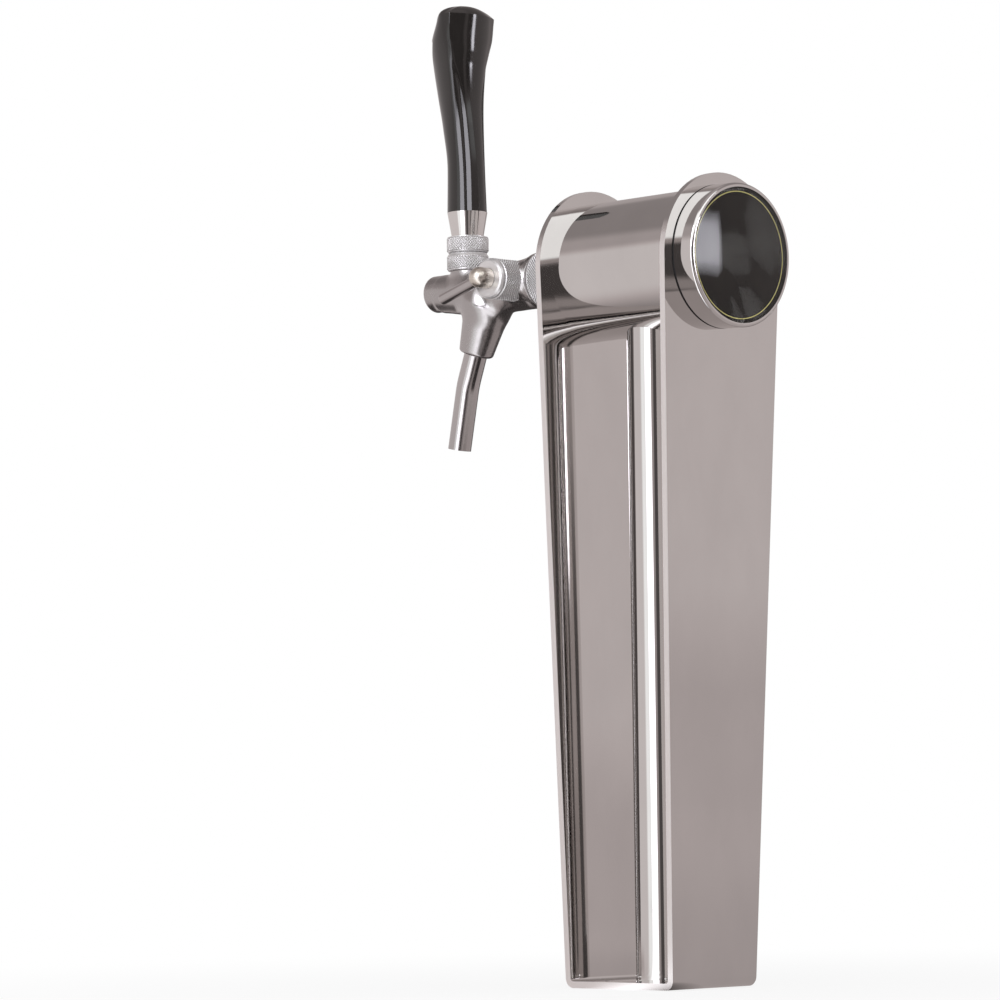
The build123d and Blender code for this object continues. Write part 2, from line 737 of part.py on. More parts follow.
with BuildPart() as valve_seal:
    tap_rod(valve_seal_diameter, head_front, head_front + valve_seal_thickness)
    tap_rod(rod_diameter, head_front, head_front + valve_seal_thickness, Mode.SUBTRACT)
save(valve_seal, "valve_seal")

# ---------------------------------------------------------------- compensator
with BuildPart() as spindle_nut:
    rod(side_plane.offset(boss_end), spindle_nut_diameter, spindle_nut_end - boss_end)
    chamfer(
        spindle_nut.edges().group_by(Axis.X)[-1],
        length=spindle_nut_chamfer,
        length2=spindle_nut_bevel,
    )
    rod(side_plane.offset(spigot_end), spindle_spigot_diameter, spindle_spigot_length)
    rod(
        side_plane.offset(spigot_end),
        spindle_diameter + 2 * bearing_gap,
        spindle_nut_end - spigot_end,
        Mode.SUBTRACT,
    )
    rod(side_plane.offset(spigot_end), spindle_seal_diameter, spindle_seal_length, Mode.SUBTRACT)
save(spindle_nut, "spindle_nut")

with BuildPart() as spindle_seal:
    rod(side_plane.offset(spigot_end), spindle_seal_diameter, spindle_seal_length)
    rod(
        side_plane.offset(spigot_end),
        spindle_diameter + 2 * bearing_gap,
        spindle_seal_length,
        Mode.SUBTRACT,
    )
save(spindle_seal, "spindle_seal")

stub_start = spindle_nut_end + running_gap
rod_station = spindle_nut_end + lever_rod_offset
rod_angle = math.radians(lever_rod_drop)
rod_direction = Vector(0, -math.cos(rod_angle), -math.sin(rod_angle))
rod_centre = Vector(rod_station, -compensator_station, axis_height)
rod_plane = Plane(
    rod_centre - rod_direction * lever_rod_overhang, x_dir=(1, 0, 0), z_dir=rod_direction
)

with BuildPart() as compensator_spindle:
    rod(side_plane.offset(spindle_end), spindle_diameter, stub_start - spindle_end)
    rod(
        side_plane.offset(boss_floor + running_gap / 2),
        spindle_collar_diameter,
        spindle_collar_thickness,
    )
    rod(side_plane.offset(stub_start), stub_diameter, stub_length)
    with Locations(side_plane.offset(stub_start + stub_length)):
        Sphere(stub_diameter / 2)
    with Locations((crank_pin_end, -compensator_station, axis_height - crank_offset)):
        Cylinder(
            crank_pin_diameter / 2,
            spindle_end - crank_pin_end,
            rotation=(0, 90, 0),
            align=seat_low,
        )
    rod(rod_plane, lever_rod_diameter + 2 * push_gap, stub_diameter, Mode.SUBTRACT)
save(compensator_spindle, "compensator_spindle")

with BuildPart() as compensator_lever:
    rod(rod_plane, lever_rod_diameter, lever_rod_overhang + lever_rod_length)
    fillet(compensator_lever.edges().group_by(Axis.Y)[0], lever_rod_rounding)
save(compensator_lever, "compensator_lever")

cone_front = compensator_station + cone_front_land
cone_rear = cone_front - cone_guide_length
with BuildPart() as compensator_cone:
    tap_rod(cone_diameter, cone_rear, cone_front)
    with Locations(tap_plane.offset(cone_rear)):
        Cone(
            cone_nose_diameter / 2,
            cone_diameter / 2,
            cone_nose_length,
            align=(Align.CENTER, Align.CENTER, Align.MAX),
        )
    keep_band(
        (
            (-cone_front, axis_height - cone_flats / 2),
            (-cone_front, axis_height + cone_flats / 2),
            (cone_nose_length - cone_rear, axis_height + cone_flats / 2),
            (cone_nose_length - cone_rear, axis_height - cone_flats / 2),
        ),
        cone_diameter,
    )
    with Locations((cone_slot_floor, -compensator_station, axis_height)):
        Box(
            cone_diameter,
            cone_slot_width,
            cone_diameter,
            align=(Align.MIN, Align.CENTER, Align.CENTER),
            mode=Mode.SUBTRACT,
        )
save(compensator_cone, "compensator_cone")
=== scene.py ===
"""Beer tower with a bent steel band, a round badge head and a compensator tap, dressed for rendering."""
import math

import bmesh
import bpy
import numpy as np
from bpy.props import FloatProperty, FloatVectorProperty, IntProperty, PointerProperty
from mathutils import Matrix, Vector


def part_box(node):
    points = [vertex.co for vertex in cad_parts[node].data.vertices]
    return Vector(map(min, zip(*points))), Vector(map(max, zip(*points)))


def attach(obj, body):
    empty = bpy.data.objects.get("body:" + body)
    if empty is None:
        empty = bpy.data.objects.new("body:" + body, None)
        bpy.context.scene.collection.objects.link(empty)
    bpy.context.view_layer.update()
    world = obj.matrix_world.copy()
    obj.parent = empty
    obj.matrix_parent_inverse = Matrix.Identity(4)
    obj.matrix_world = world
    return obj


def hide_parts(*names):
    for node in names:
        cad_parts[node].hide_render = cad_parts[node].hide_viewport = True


bl_info = {
    "name": "Beer tower dresser",
    "version": (1, 0, 0),
    "blender": (4, 5, 0),
    "location": "View3D > Sidebar > Beer Tower",
    "description": "Builds the visible pieces, finishes and studio of a beer tower on its packed frame",
    "category": "Object",
}

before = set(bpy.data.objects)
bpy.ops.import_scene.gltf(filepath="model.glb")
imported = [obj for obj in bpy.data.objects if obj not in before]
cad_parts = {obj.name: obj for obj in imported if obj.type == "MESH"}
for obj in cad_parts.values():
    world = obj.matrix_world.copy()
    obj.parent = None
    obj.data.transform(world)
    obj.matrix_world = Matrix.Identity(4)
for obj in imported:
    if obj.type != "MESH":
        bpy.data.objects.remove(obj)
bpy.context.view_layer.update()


# ---------------------------------------------------------------- sizes and colours to change
class TowerSizes(bpy.types.PropertyGroup):
    knurl_pitch: FloatProperty(
        name="Knurl pitch", description="Distance between neighbouring knurl diamonds round a nut",
        default=0.0018, unit="LENGTH")
    knurl_depth: FloatProperty(
        name="Knurl depth", description="Depth of the crossed knurl grooves", default=0.0006, unit="LENGTH")
    circle_line_radius: FloatProperty(
        name="Circle line radius", description="Radius of the thin gold line on the badge", default=0.0376,
        unit="LENGTH")
    circle_line_width: FloatProperty(
        name="Circle line width", description="Width of the thin gold line on the badge", default=0.0006,
        unit="LENGTH")
    band_lean: FloatProperty(
        name="Band lean", description="Lean of the back panel and of the badge on it, per unit of height",
        default=0.0353)
    handle_height: FloatProperty(
        name="Handle height", description="Height of the black handle over its ferrule", default=0.1312,
        unit="LENGTH")
    crown_steps: IntProperty(
        name="Crown steps", description="Number of rings that round off the handle's top", default=22, min=6)
    scoop_depth: FloatProperty(
        name="Scoop depth", description="Depth of the finger hollow under the handle's nose", default=0.0076,
        unit="LENGTH")
    casting_grid: FloatProperty(
        name="Casting grid", description="Grid step that the cast tap body is shaped on", default=0.0005,
        unit="LENGTH")


class TowerFinish(bpy.types.PropertyGroup):
    steel: FloatVectorProperty(
        name="Steel", description="Colour of the polished steel", subtype="COLOR",
        default=(0.75, 0.735, 0.725))
    chrome: FloatVectorProperty(
        name="Chrome", description="Colour of the chromed tap", subtype="COLOR", default=(0.57, 0.55, 0.548))
    steel_roughness: FloatProperty(
        name="Steel roughness", description="Roughness of the polished steel", default=0.045,
        subtype="FACTOR", min=0.0, max=1.0)
    black: FloatVectorProperty(
        name="Black", description="Colour of the glossy black handle", subtype="COLOR",
        default=(0.0185, 0.0160, 0.0148))


def sizes():
    return bpy.context.scene.beer_tower_sizes


def colours():
    return bpy.context.scene.beer_tower_finish


# ---------------------------------------------------------------- material parts
# how often a finish's fine texture changes along X, Y and Z, per metre
BRUSHED_GRAIN = (900.0, 900.0, 30.0)
SATIN_GRAIN = (700.0, 700.0, 60.0)
TURNED_GRAIN = (700.0, 700.0, 700.0)
CAST_GRAIN = (300.0, 300.0, 300.0)

# places of a Mix node's first input, second input and result
MIX_SOCKETS = {"FLOAT": (2, 3, 0), "RGBA": (6, 7, 2)}


def set_inputs(tree, node, inputs):
    """Plain values or other nodes' outputs for a node's inputs, by name or by place."""
    for key, value in inputs.items():
        if isinstance(value, bpy.types.NodeSocket):
            tree.links.new(value, node.inputs[key])
        else:
            node.inputs[key].default_value = value


def add_node(tree, kind, inputs=None, **settings):
    node = tree.nodes.new(kind)
    for key, value in settings.items():
        setattr(node, key, value)
    set_inputs(tree, node, inputs or {})
    return node


def new_material(name, **inputs):
    """A material with its node tree and main shader."""
    material = bpy.data.materials.new(name)
    material.use_nodes = True
    tree = material.node_tree
    shader = tree.nodes["Principled BSDF"]
    set_inputs(tree, shader, inputs)
    return material, tree, shader


def ramp(tree, source, stops):
    """A colour ramp over a value, from (position, colour) pairs."""
    node = add_node(tree, "ShaderNodeValToRGB", {"Fac": source})
    points = node.color_ramp.elements
    while len(points) < len(stops):
        points.new(0.5)
    for point, (position, colour) in zip(points, stops):
        point.position = position
        point.color = (*colour, 1.0)
    return node.outputs["Color"]


def map_range(tree, source, low, high, start=0.0, end=1.0, **settings):
    """The value between start and end, carried over to between low and high."""
    limits = {"Value": source, "From Min": start, "From Max": end, "To Min": low, "To Max": high}
    return add_node(tree, "ShaderNodeMapRange", limits, **settings).outputs["Result"]


def maths(tree, operation, *values):
    return add_node(tree, "ShaderNodeMath", dict(enumerate(values)), operation=operation).outputs["Value"]


def mix(tree, kind, factor, first, second, blend="MIX"):
    """Mix of two values or two colours."""
    a, b, result = MIX_SOCKETS[kind]
    inputs = {0: factor, a: first, b: second}
    return add_node(tree, "ShaderNodeMix", inputs, data_type=kind, blend_type=blend).outputs[result]


def noise(tree, scale, detail, roughness):
    """Cloudy value on the object's own coordinates, with that many features per metre along each axis."""
    place = add_node(tree, "ShaderNodeTexCoord").outputs["Object"]
    stretched = add_node(tree, "ShaderNodeMapping", {"Vector": place, "Scale": scale}).outputs["Vector"]
    inputs = {"Vector": stretched, "Scale": 1.0, "Detail": detail, "Roughness": roughness}
    return add_node(tree, "ShaderNodeTexNoise", inputs).outputs["Fac"]


def set_relief(tree, shader, height, strength, distance=0.00002):
    """Fine relief on the shader from a height value."""
    bump = add_node(tree, "ShaderNodeBump", {"Strength": strength, "Distance": distance, "Height": height})
    set_inputs(tree, shader, {"Normal": bump.outputs["Normal"]})


def set_mottle(tree, shader, cloud, stops, low, high):
    """Colour and roughness on the shader that both follow one cloudy value."""
    set_inputs(tree, shader, {"Base Color": ramp(tree, cloud, stops),
                              "Roughness": map_range(tree, cloud, low, high)})


def shade(colour, factor):
    return tuple(min(1.0, c * factor) for c in colour)


# ---------------------------------------------------------------- finishes
def painted_groove_shade(tree, tint):
    """The tint with painted shade, a dark tone, in the hollows between sharp points."""
    hollow = add_node(tree, "ShaderNodeNewGeometry").outputs["Pointiness"]
    # painted shade: a dark tone multiplied into the knurl's hollows, which pointiness finds
    shade_colour, unshaded = (0.18, 0.175, 0.17), (1.0, 1.0, 1.0)
    tone = ramp(tree, hollow, [(0.42, shade_colour), (0.49, unshaded)])
    return mix(tree, "RGBA", 1.0, tint, tone, "MULTIPLY")


def sawn_edges(tree, tint, rough, lines):
    """Tint and roughness that turn to pale brushed metal on the faces that look sideways."""
    facing = add_node(tree, "ShaderNodeTexCoord").outputs["Normal"]
    across = add_node(tree, "ShaderNodeSeparateXYZ", {"Vector": facing}).outputs["X"]
    edge = map_range(tree, maths(tree, "ABSOLUTE", across), 0.0, 1.0, start=0.93, end=0.98)
    brushed = map_range(tree, lines, 0.26, 0.42)
    pale = (0.90, 0.88, 0.87, 1.0)
    return mix(tree, "RGBA", edge, tint, pale), mix(tree, "FLOAT", edge, rough, brushed)


def steel_material(name, colour, roughness, grain=BRUSHED_GRAIN, relief=0.25, spread=0.35, metallic=1.0,
                   cut_edges=False, shade_grooves=False):
    """Bare or plated metal: fine brushing along its grain, cloudy wear and a slight change of tone.

    With cut_edges, the faces that look sideways are sawn and brushed. With the groove flag set, the hollows
    between sharp points are darkened with painted shade."""
    material, tree, shader = new_material(name, Metallic=metallic)
    clouds = noise(tree, (26.0, 26.0, 14.0), 4.0, 0.55)
    lines = noise(tree, grain, 3.0, 0.6)
    tint = ramp(tree, clouds, [(0.32, shade(colour, 0.965)), (0.68, shade(colour, 1.02))])
    smooth, worn = roughness * (1.0 - spread), roughness * (1.0 + 3.0 * spread)
    rough = map_range(tree, maths(tree, "MULTIPLY", clouds, lines), smooth, worn)
    if shade_grooves:
        # painted shade darkens the hollows between the knurl's points
        tint = painted_groove_shade(tree, tint)
    if cut_edges:
        tint, rough = sawn_edges(tree, tint, rough, lines)
    set_inputs(tree, shader, {"Base Color": tint, "Roughness": rough})
    set_relief(tree, shader, lines, relief)
    return material


def black_gloss_material(name, colour, roughness=0.09):
    """Moulded black plastic: deep gloss with fine mould texture and faint handling marks."""
    gloss = {"Coat Weight": 0.35, "Coat Roughness": 0.03}
    material, tree, shader = new_material(name, IOR=1.5, **gloss)
    wear = noise(tree, (60.0, 60.0, 25.0), 5.0, 0.6)
    grain = noise(tree, (1500.0, 1500.0, 1500.0), 2.0, 0.5)
    rubbed = tuple(c * 1.5 + 0.001 for c in colour)
    set_mottle(tree, shader, wear, [(0.35, colour), (0.75, rubbed)], roughness * 0.6, roughness * 1.7)
    set_relief(tree, shader, grain, 0.12)
    return material


def rubber_material(name, colour=(0.018, 0.018, 0.019)):
    """Matt black rubber with a little dust."""
    material, tree, shader = new_material(name)
    dust = noise(tree, (220.0, 220.0, 220.0), 6.0, 0.65)
    set_mottle(tree, shader, dust, [(0.35, colour), (0.8, shade(colour, 1.9))], 0.55, 0.85)
    set_relief(tree, shader, dust, 0.3, 0.00008)
    return material


def lens_material(name):
    """Clear domed resin over the badge."""
    clear = {"Base Color": (0.97, 0.96, 0.95, 1.0), "Transmission Weight": 1.0}
    material, tree, shader = new_material(name, IOR=1.4, **clear)
    smear = noise(tree, (45.0, 45.0, 45.0), 4.0, 0.6)
    set_inputs(tree, shader, {"Roughness": map_range(tree, smear, 0.0, 0.003)})
    return material


def badge_material(name):
    """Printed dark badge face, warm black with a slight mottle."""
    material, tree, shader = new_material(name, **{"Specular IOR Level": 0.05})
    ink = noise(tree, (90.0, 90.0, 90.0), 5.0, 0.6)
    dark, light = (0.019, 0.0150, 0.013), (0.026, 0.0215, 0.018)
    set_mottle(tree, shader, ink, [(0.3, dark), (0.75, light)], 0.30, 0.45)
    return material


def gold_material(name):
    """Thin gold foil with a slightly uneven shine."""
    material, tree, shader = new_material(name, Metallic=1.0)
    foil = noise(tree, (700.0, 700.0, 700.0), 4.0, 0.6)
    deep, pale = (0.70, 0.62, 0.20), (0.90, 0.84, 0.38)
    set_mottle(tree, shader, foil, [(0.3, deep), (0.7, pale)], 0.25, 0.45)
    return material


def make_materials():
    """Every finish, by the short name that the pieces ask for."""
    values = colours()
    steel, chrome, polish = tuple(values.steel), tuple(values.chrome), values.steel_roughness
    nut_steel, nickel = (0.86, 0.85, 0.85), (0.76, 0.71, 0.64)
    return {
        "polished": steel_material("polished_steel", steel, polish, relief=0.03),
        "band": steel_material("band_steel", steel, polish, relief=0.03, cut_edges=True),
        # the knurled nuts carry painted shade in their grooves
        "knurled": steel_material("knurled_steel", nut_steel, 0.32, TURNED_GRAIN, relief=0.2, spread=0.15,
                                  metallic=0.6, shade_grooves=True),
        "satin": steel_material("satin_steel", shade(steel, 0.9), 0.24, SATIN_GRAIN, relief=0.6),
        "cast": steel_material("cast_chrome", shade(chrome, 0.9), 0.24, CAST_GRAIN, relief=0.1, spread=0.4),
        "chrome": steel_material("chromed_tap", chrome, 0.13, CAST_GRAIN, relief=0.15, spread=0.5),
        "bright": steel_material("bright_nickel", shade(steel, 1.08), 0.07, CAST_GRAIN, relief=0.1),
        "nickel": steel_material("warm_nickel", nickel, 0.30, CAST_GRAIN, relief=0.1),
        "handle": black_gloss_material("handle_black", tuple(values.black)),
        "rubber": rubber_material("black_rubber"),
        "lens": lens_material("clear_lens"),
        "badge": badge_material("badge_dark"),
        "gold": gold_material("gold_foil"),
    }


FINISHES = {}


def finish(name):
    """The finish of that name, made once."""
    if not FINISHES:
        FINISHES.update(make_materials())
    return FINISHES[name]


# ---------------------------------------------------------------- curves
def smooth_step(t):
    t = max(0.0, min(1.0, t))
    return t * t * (3.0 - 2.0 * t)


def spline_value(table, t):
    """Smooth value through (position, value) pairs, by monotone cubic pieces."""
    if t <= table[0][0]:
        return table[0][1]
    if t >= table[-1][0]:
        return table[-1][1]
    slopes = [(b[1] - a[1]) / (b[0] - a[0]) for a, b in zip(table, table[1:])]
    tangents = [slopes[0]]
    for a, b in zip(slopes, slopes[1:]):
        tangents.append(0.0 if a * b <= 0 else 2.0 * a * b / (a + b))
    tangents.append(slopes[-1])
    i = next(k for k in range(len(slopes)) if t <= table[k + 1][0])
    a, b = table[i], table[i + 1]
    h = b[0] - a[0]
    s = (t - a[0]) / h
    return ((2 * s**3 - 3 * s**2 + 1) * a[1] + (s**3 - 2 * s**2 + s) * h * tangents[i]
            + (-2 * s**3 + 3 * s**2) * b[1] + (s**3 - s**2) * h * tangents[i + 1])


# ---------------------------------------------------------------- mesh helpers
def make_object(name, mesh_data, finish_name, body, crease=40.0):
    """A smooth shaded piece with its finish, riding on a body; edges over crease degrees stay sharp."""
    piece = bpy.data.objects.new(name, mesh_data)
    bpy.context.scene.collection.objects.link(piece)
    mesh_data.materials.append(finish(finish_name))
    soft_shading(mesh_data, crease)
    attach(piece, body)
    return piece


def soft_shading(mesh_data, crease):
    for polygon in mesh_data.polygons:
        polygon.use_smooth = True
    mesh_data.set_sharp_from_angle(angle=math.radians(crease))


def finish_nodes(names, finish_name, crease=28.0):
    """Gives CAD nodes a finish and soft shading."""
    for name in names:
        mesh_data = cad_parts[name].data
        mesh_data.materials.clear()
        mesh_data.materials.append(finish(finish_name))
        soft_shading(mesh_data, crease)


def grid_mesh(name, rings, close_ends=False):
    """A tube mesh through rings of points, each with the same count; the end rings may be capped."""
    mesh = bmesh.new()
    loops = [[mesh.verts.new(point) for point in ring] for ring in rings]
    count = len(loops[0])
    for lower, upper in zip(loops, loops[1:]):
        for i in range(count):
            j = (i + 1) % count
            mesh.faces.new((lower[i], lower[j], upper[j], upper[i]))
    if close_ends:
        mesh.faces.new(list(reversed(loops[0])))
        mesh.faces.new(loops[-1])
    bmesh.ops.remove_doubles(mesh, verts=mesh.verts, dist=1e-7)
    bmesh.ops.recalc_face_normals(mesh, faces=mesh.faces)
    data = bpy.data.meshes.new(name)
    mesh.to_mesh(data)
    mesh.free()
    return data


def axis_frame(origin, axis, start):
    """A matrix whose local Z runs along axis from origin, with X near start."""
    z = Vector(axis).normalized()
    x = (Vector(start) - Vector(start).dot(z) * z).normalized()
    y = z.cross(x)
    return Matrix(((x.x, y.x, z.x, origin[0]), (x.y, y.y, z.y, origin[1]), (x.z, y.z, z.z, origin[2]),
                   (0.0, 0.0, 0.0, 1.0)))


def circle(place, radius, height, count):
    """Points of a circle round the local Z axis of place."""
    angles = [2 * math.pi * i / count for i in range(count)]
    return [place @ Vector((radius * math.cos(a), radius * math.sin(a), height)) for a in angles]


def diamond(u, v):
    """Height of a diamond knurl from 0 in a groove to 1 on a point, at turn u and travel v in pitches."""
    flank = 1.7
    first = abs((u + v) % 1.0 - 0.5) * 2.0
    second = abs((u - v) % 1.0 - 0.5) * 2.0
    return min(1.0, flank * min(first, second))


def knurl_stations(profile, pitch, samples):
    """The profile as (radius, height, knurl), in small steps where it is knurled.

    The knurl is 1 where it is fully cut, and runs out to 0 at both ends of the knurled stretch."""
    run_out = pitch * 0.25
    stations = [(profile[0][0], profile[0][1], 0.0)]
    for (r0, h0, k0), (r1, h1, k1) in zip(profile, profile[1:]):
        knurled = k0 and k1
        steps = max(1, round(abs(h1 - h0) / (pitch / samples))) if knurled else 1
        for i in range(1, steps + 1):
            t = i / steps
            edge = min(t, 1.0 - t) * abs(h1 - h0)
            knurl = min(1.0, edge / run_out) if knurled else 0.0
            stations.append((r0 + (r1 - r0) * t, h0 + (h1 - h0) * t, knurl))
    return stations


def knurled_mesh(name, place, profile, bore, samples=6):
    """A turned ring with diamond knurling.

    profile runs (radius, height, knurled) up its outside. bore runs (radius, height) down its inside and
    closes the ring, so it is a solid of revolution."""
    pitch, depth = sizes().knurl_pitch, sizes().knurl_depth
    widest = max(radius for radius, _, _ in profile)
    diamonds = max(12, round(2.0 * math.pi * widest / pitch))
    around = diamonds * samples
    rings = []
    for radius, height, knurl in knurl_stations(profile, pitch, samples):
        ring = []
        for i in range(around):
            turn = i / around
            r = radius
            if knurl > 0.0:
                r -= depth * knurl * (1.0 - diamond(turn * diamonds, height / pitch))
            angle = 2.0 * math.pi * turn
            ring.append(place @ Vector((r * math.cos(angle), r * math.sin(angle), height)))
        rings.append(ring)
    rings += [circle(place, radius, height, around) for radius, height in bore]
    rings.append(rings[0])
    return grid_mesh(name, rings)


class Builder(bpy.types.Operator):
    """Shared base of the building steps"""
    bl_options = {"REGISTER", "UNDO"}

    def stop_unless(self, condition, message):
        if not condition:
            raise RuntimeError(message)


# ---------------------------------------------------------------- frame nodes
class TOWER_OT_finishes(Builder):
    """Give every CAD node its finish"""
    bl_idname = "beer_tower.finishes"
    bl_label = "Finish CAD nodes"

    NODES = {
        "band": ("tower_frame",),
        "polished": ("head_tube", "column_tube", "badge_clamp_ring"),
        "chrome": ("tap_body", "spout", "shank", "front_cap", "compensator_lever", "compensator_cone"),
        "bright": ("handle_ferrule", "lever_stem", "valve_shaft"),
        "nickel": ("compensator_spindle",),
        "satin": ("badge_housing", "housing_screws", "inner_washer", "shank_nut", "line_elbow",
                  "inlet_connector", "retaining_ring", "handle_insert"),
        "rubber": ("badge_seal", "panel_gasket", "tail_washer", "front_cap_seal", "spout_seal", "lever_seal",
                   "valve_seal", "spindle_seal", "beer_line"),
        "badge": ("badge_disc",),
        "lens": ("badge_lens",),
    }

    def execute(self, context):
        for finish_name, names in self.NODES.items():
            finish_nodes(names, finish_name)
        return {"FINISHED"}


# ---------------------------------------------------------------- knurled nuts
class TOWER_OT_knurled_nuts(Builder):
    """Build the four knurled nuts that stand for their plain CAD rings"""
    bl_idname = "beer_tower.knurled_nuts"
    bl_label = "Knurled nuts"

    COUPLING_RADIUS, COLLAR_RADIUS, SIDE_RADIUS = 0.0185, 0.0132, 0.0128
    COUPLING_BORE, SEAT_BORE, STEM_BORE, SPINDLE_BORE = 0.0150, 0.0096, 0.0036, 0.0042

    # The lower collar's crown and the upper collar's hollow are balls about the handle's pivot.
    PIVOT_HEIGHT, CROWN, HOLLOW = 0.447, 0.01495, 0.01508
    CROWN_STEPS, HOLLOW_STEPS = 6, 10

    # Plain lengths below and above a nut's knurled band, and the turned steps at its ends as inset from its
    # radius and distance from that end.
    COUPLING_BAND, LOWER_BAND, UPPER_BAND, SIDE_BAND = ((0.0018, 0.0024), (0.0012, 0.0001), (0.0013, 0.0012),
                                                        (0.0008, 0.0044))
    COUPLING_FOOT = ((0.0020, 0.0), (0.0008, 0.0006), (0.0, 0.0014))
    COUPLING_TOP = ((0.0006, 0.0018), (0.0020, 0.0006), (0.0026, 0.0))
    LOWER_FOOT = ((0.0010, 0.0), (0.0004, 0.0003), (0.0004, 0.0008), (0.0007, 0.0010))
    UPPER_FOOT = ((0.0011, 0.0), (0.0004, 0.0007), (0.0004, 0.0009), (0.0007, 0.0011))
    UPPER_TOP = ((0.0007, 0.0010), (0.0004, 0.0008), (0.0004, 0.0003), (0.0012, 0.0))
    SIDE_FOOT = ((0.0010, 0.0), (0.0003, 0.0004))
    SIDE_TOP = ((0.0006, 0.0040), (0.0002, 0.0034), (0.0002, 0.0020), (0.0010, 0.0007), (0.0020, 0.0))

    def outside(self, radius, foot, band, reach, top=()):
        """Profile of a nut: turned steps at its foot, the knurled band, turned steps at its top."""
        return [*((radius - inset, rise, False) for inset, rise in foot),
                (radius, band[0], True), (radius, reach - band[1], True),
                *((radius - inset, reach - drop, False) for inset, drop in top)]

    def coupling_nut(self, reach):
        return self.outside(self.COUPLING_RADIUS, self.COUPLING_FOOT, self.COUPLING_BAND, reach,
                            self.COUPLING_TOP)

    def side_nut(self, reach):
        return self.outside(self.SIDE_RADIUS, self.SIDE_FOOT, self.SIDE_BAND, reach, self.SIDE_TOP)

    def upper_collar(self, reach):
        return self.outside(self.COLLAR_RADIUS, self.UPPER_FOOT, self.UPPER_BAND, reach, self.UPPER_TOP)

    def lower_collar(self, reach):
        """Knurled up to its shoulder, with the round crown over that."""
        pivot = self.PIVOT_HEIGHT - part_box("bonnet_collar")[0].z
        shoulder = pivot + math.sqrt(self.CROWN ** 2 - self.COLLAR_RADIUS ** 2)
        steps = self.CROWN_STEPS
        heights = [shoulder + (reach - shoulder) * k / steps for k in range(1, steps + 1)]
        crown = [(math.sqrt(self.CROWN ** 2 - (h - pivot) ** 2), h, False) for h in heights]
        return self.outside(self.COLLAR_RADIUS, self.LOWER_FOOT, self.LOWER_BAND, shoulder) + crown

    def upper_bore(self, reach):
        """The stem's hole, opening down into the hollow that clears the crown."""
        above = self.PIVOT_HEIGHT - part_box("handle_collar")[0].z
        roof, floor = math.sqrt(self.HOLLOW ** 2 - self.STEM_BORE ** 2), -above
        heights = [floor + (roof - floor) * math.sin(math.pi / 2 * k / self.HOLLOW_STEPS)
                   for k in range(self.HOLLOW_STEPS, -1, -1)]
        return [(self.STEM_BORE, reach)] + [(math.sqrt(self.HOLLOW ** 2 - h * h), h + above) for h in heights]

    def straight(self, radius):
        return lambda reach: [(radius, reach), (radius, 0.0)]

    def build(self, node, axis, start, profile, bore, body):
        """Knurled piece in the place of a CAD ring that lies along axis."""
        low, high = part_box(node)
        direction = Vector(axis)
        reach = abs((high - low).dot(direction))
        origin = (low + high) / 2 - direction * (reach / 2)
        outer = profile(reach)
        self.stop_unless(outer[-1][1] <= reach + 1e-6, node + " is shorter than its profile")
        data = knurled_mesh(node + "_knurled", axis_frame(origin, axis, start), outer, bore(reach))
        piece = make_object(node + "_knurled", data, "knurled", body, 22.0)
        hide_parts(node)

    def execute(self, context):
        along, up, side = (0, -1, 0), (0, 0, 1), (1, 0, 0)
        self.build("coupling_nut", along, side, self.coupling_nut, self.straight(self.COUPLING_BORE), "tower")
        self.build("bonnet_collar", up, side, self.lower_collar, self.straight(self.SEAT_BORE), "tower")
        self.build("handle_collar", up, side, self.upper_collar, self.upper_bore, "handle")
        self.build("spindle_nut", side, (0, 1, 0), self.side_nut, self.straight(self.SPINDLE_BORE), "tower")
        return {"FINISHED"}


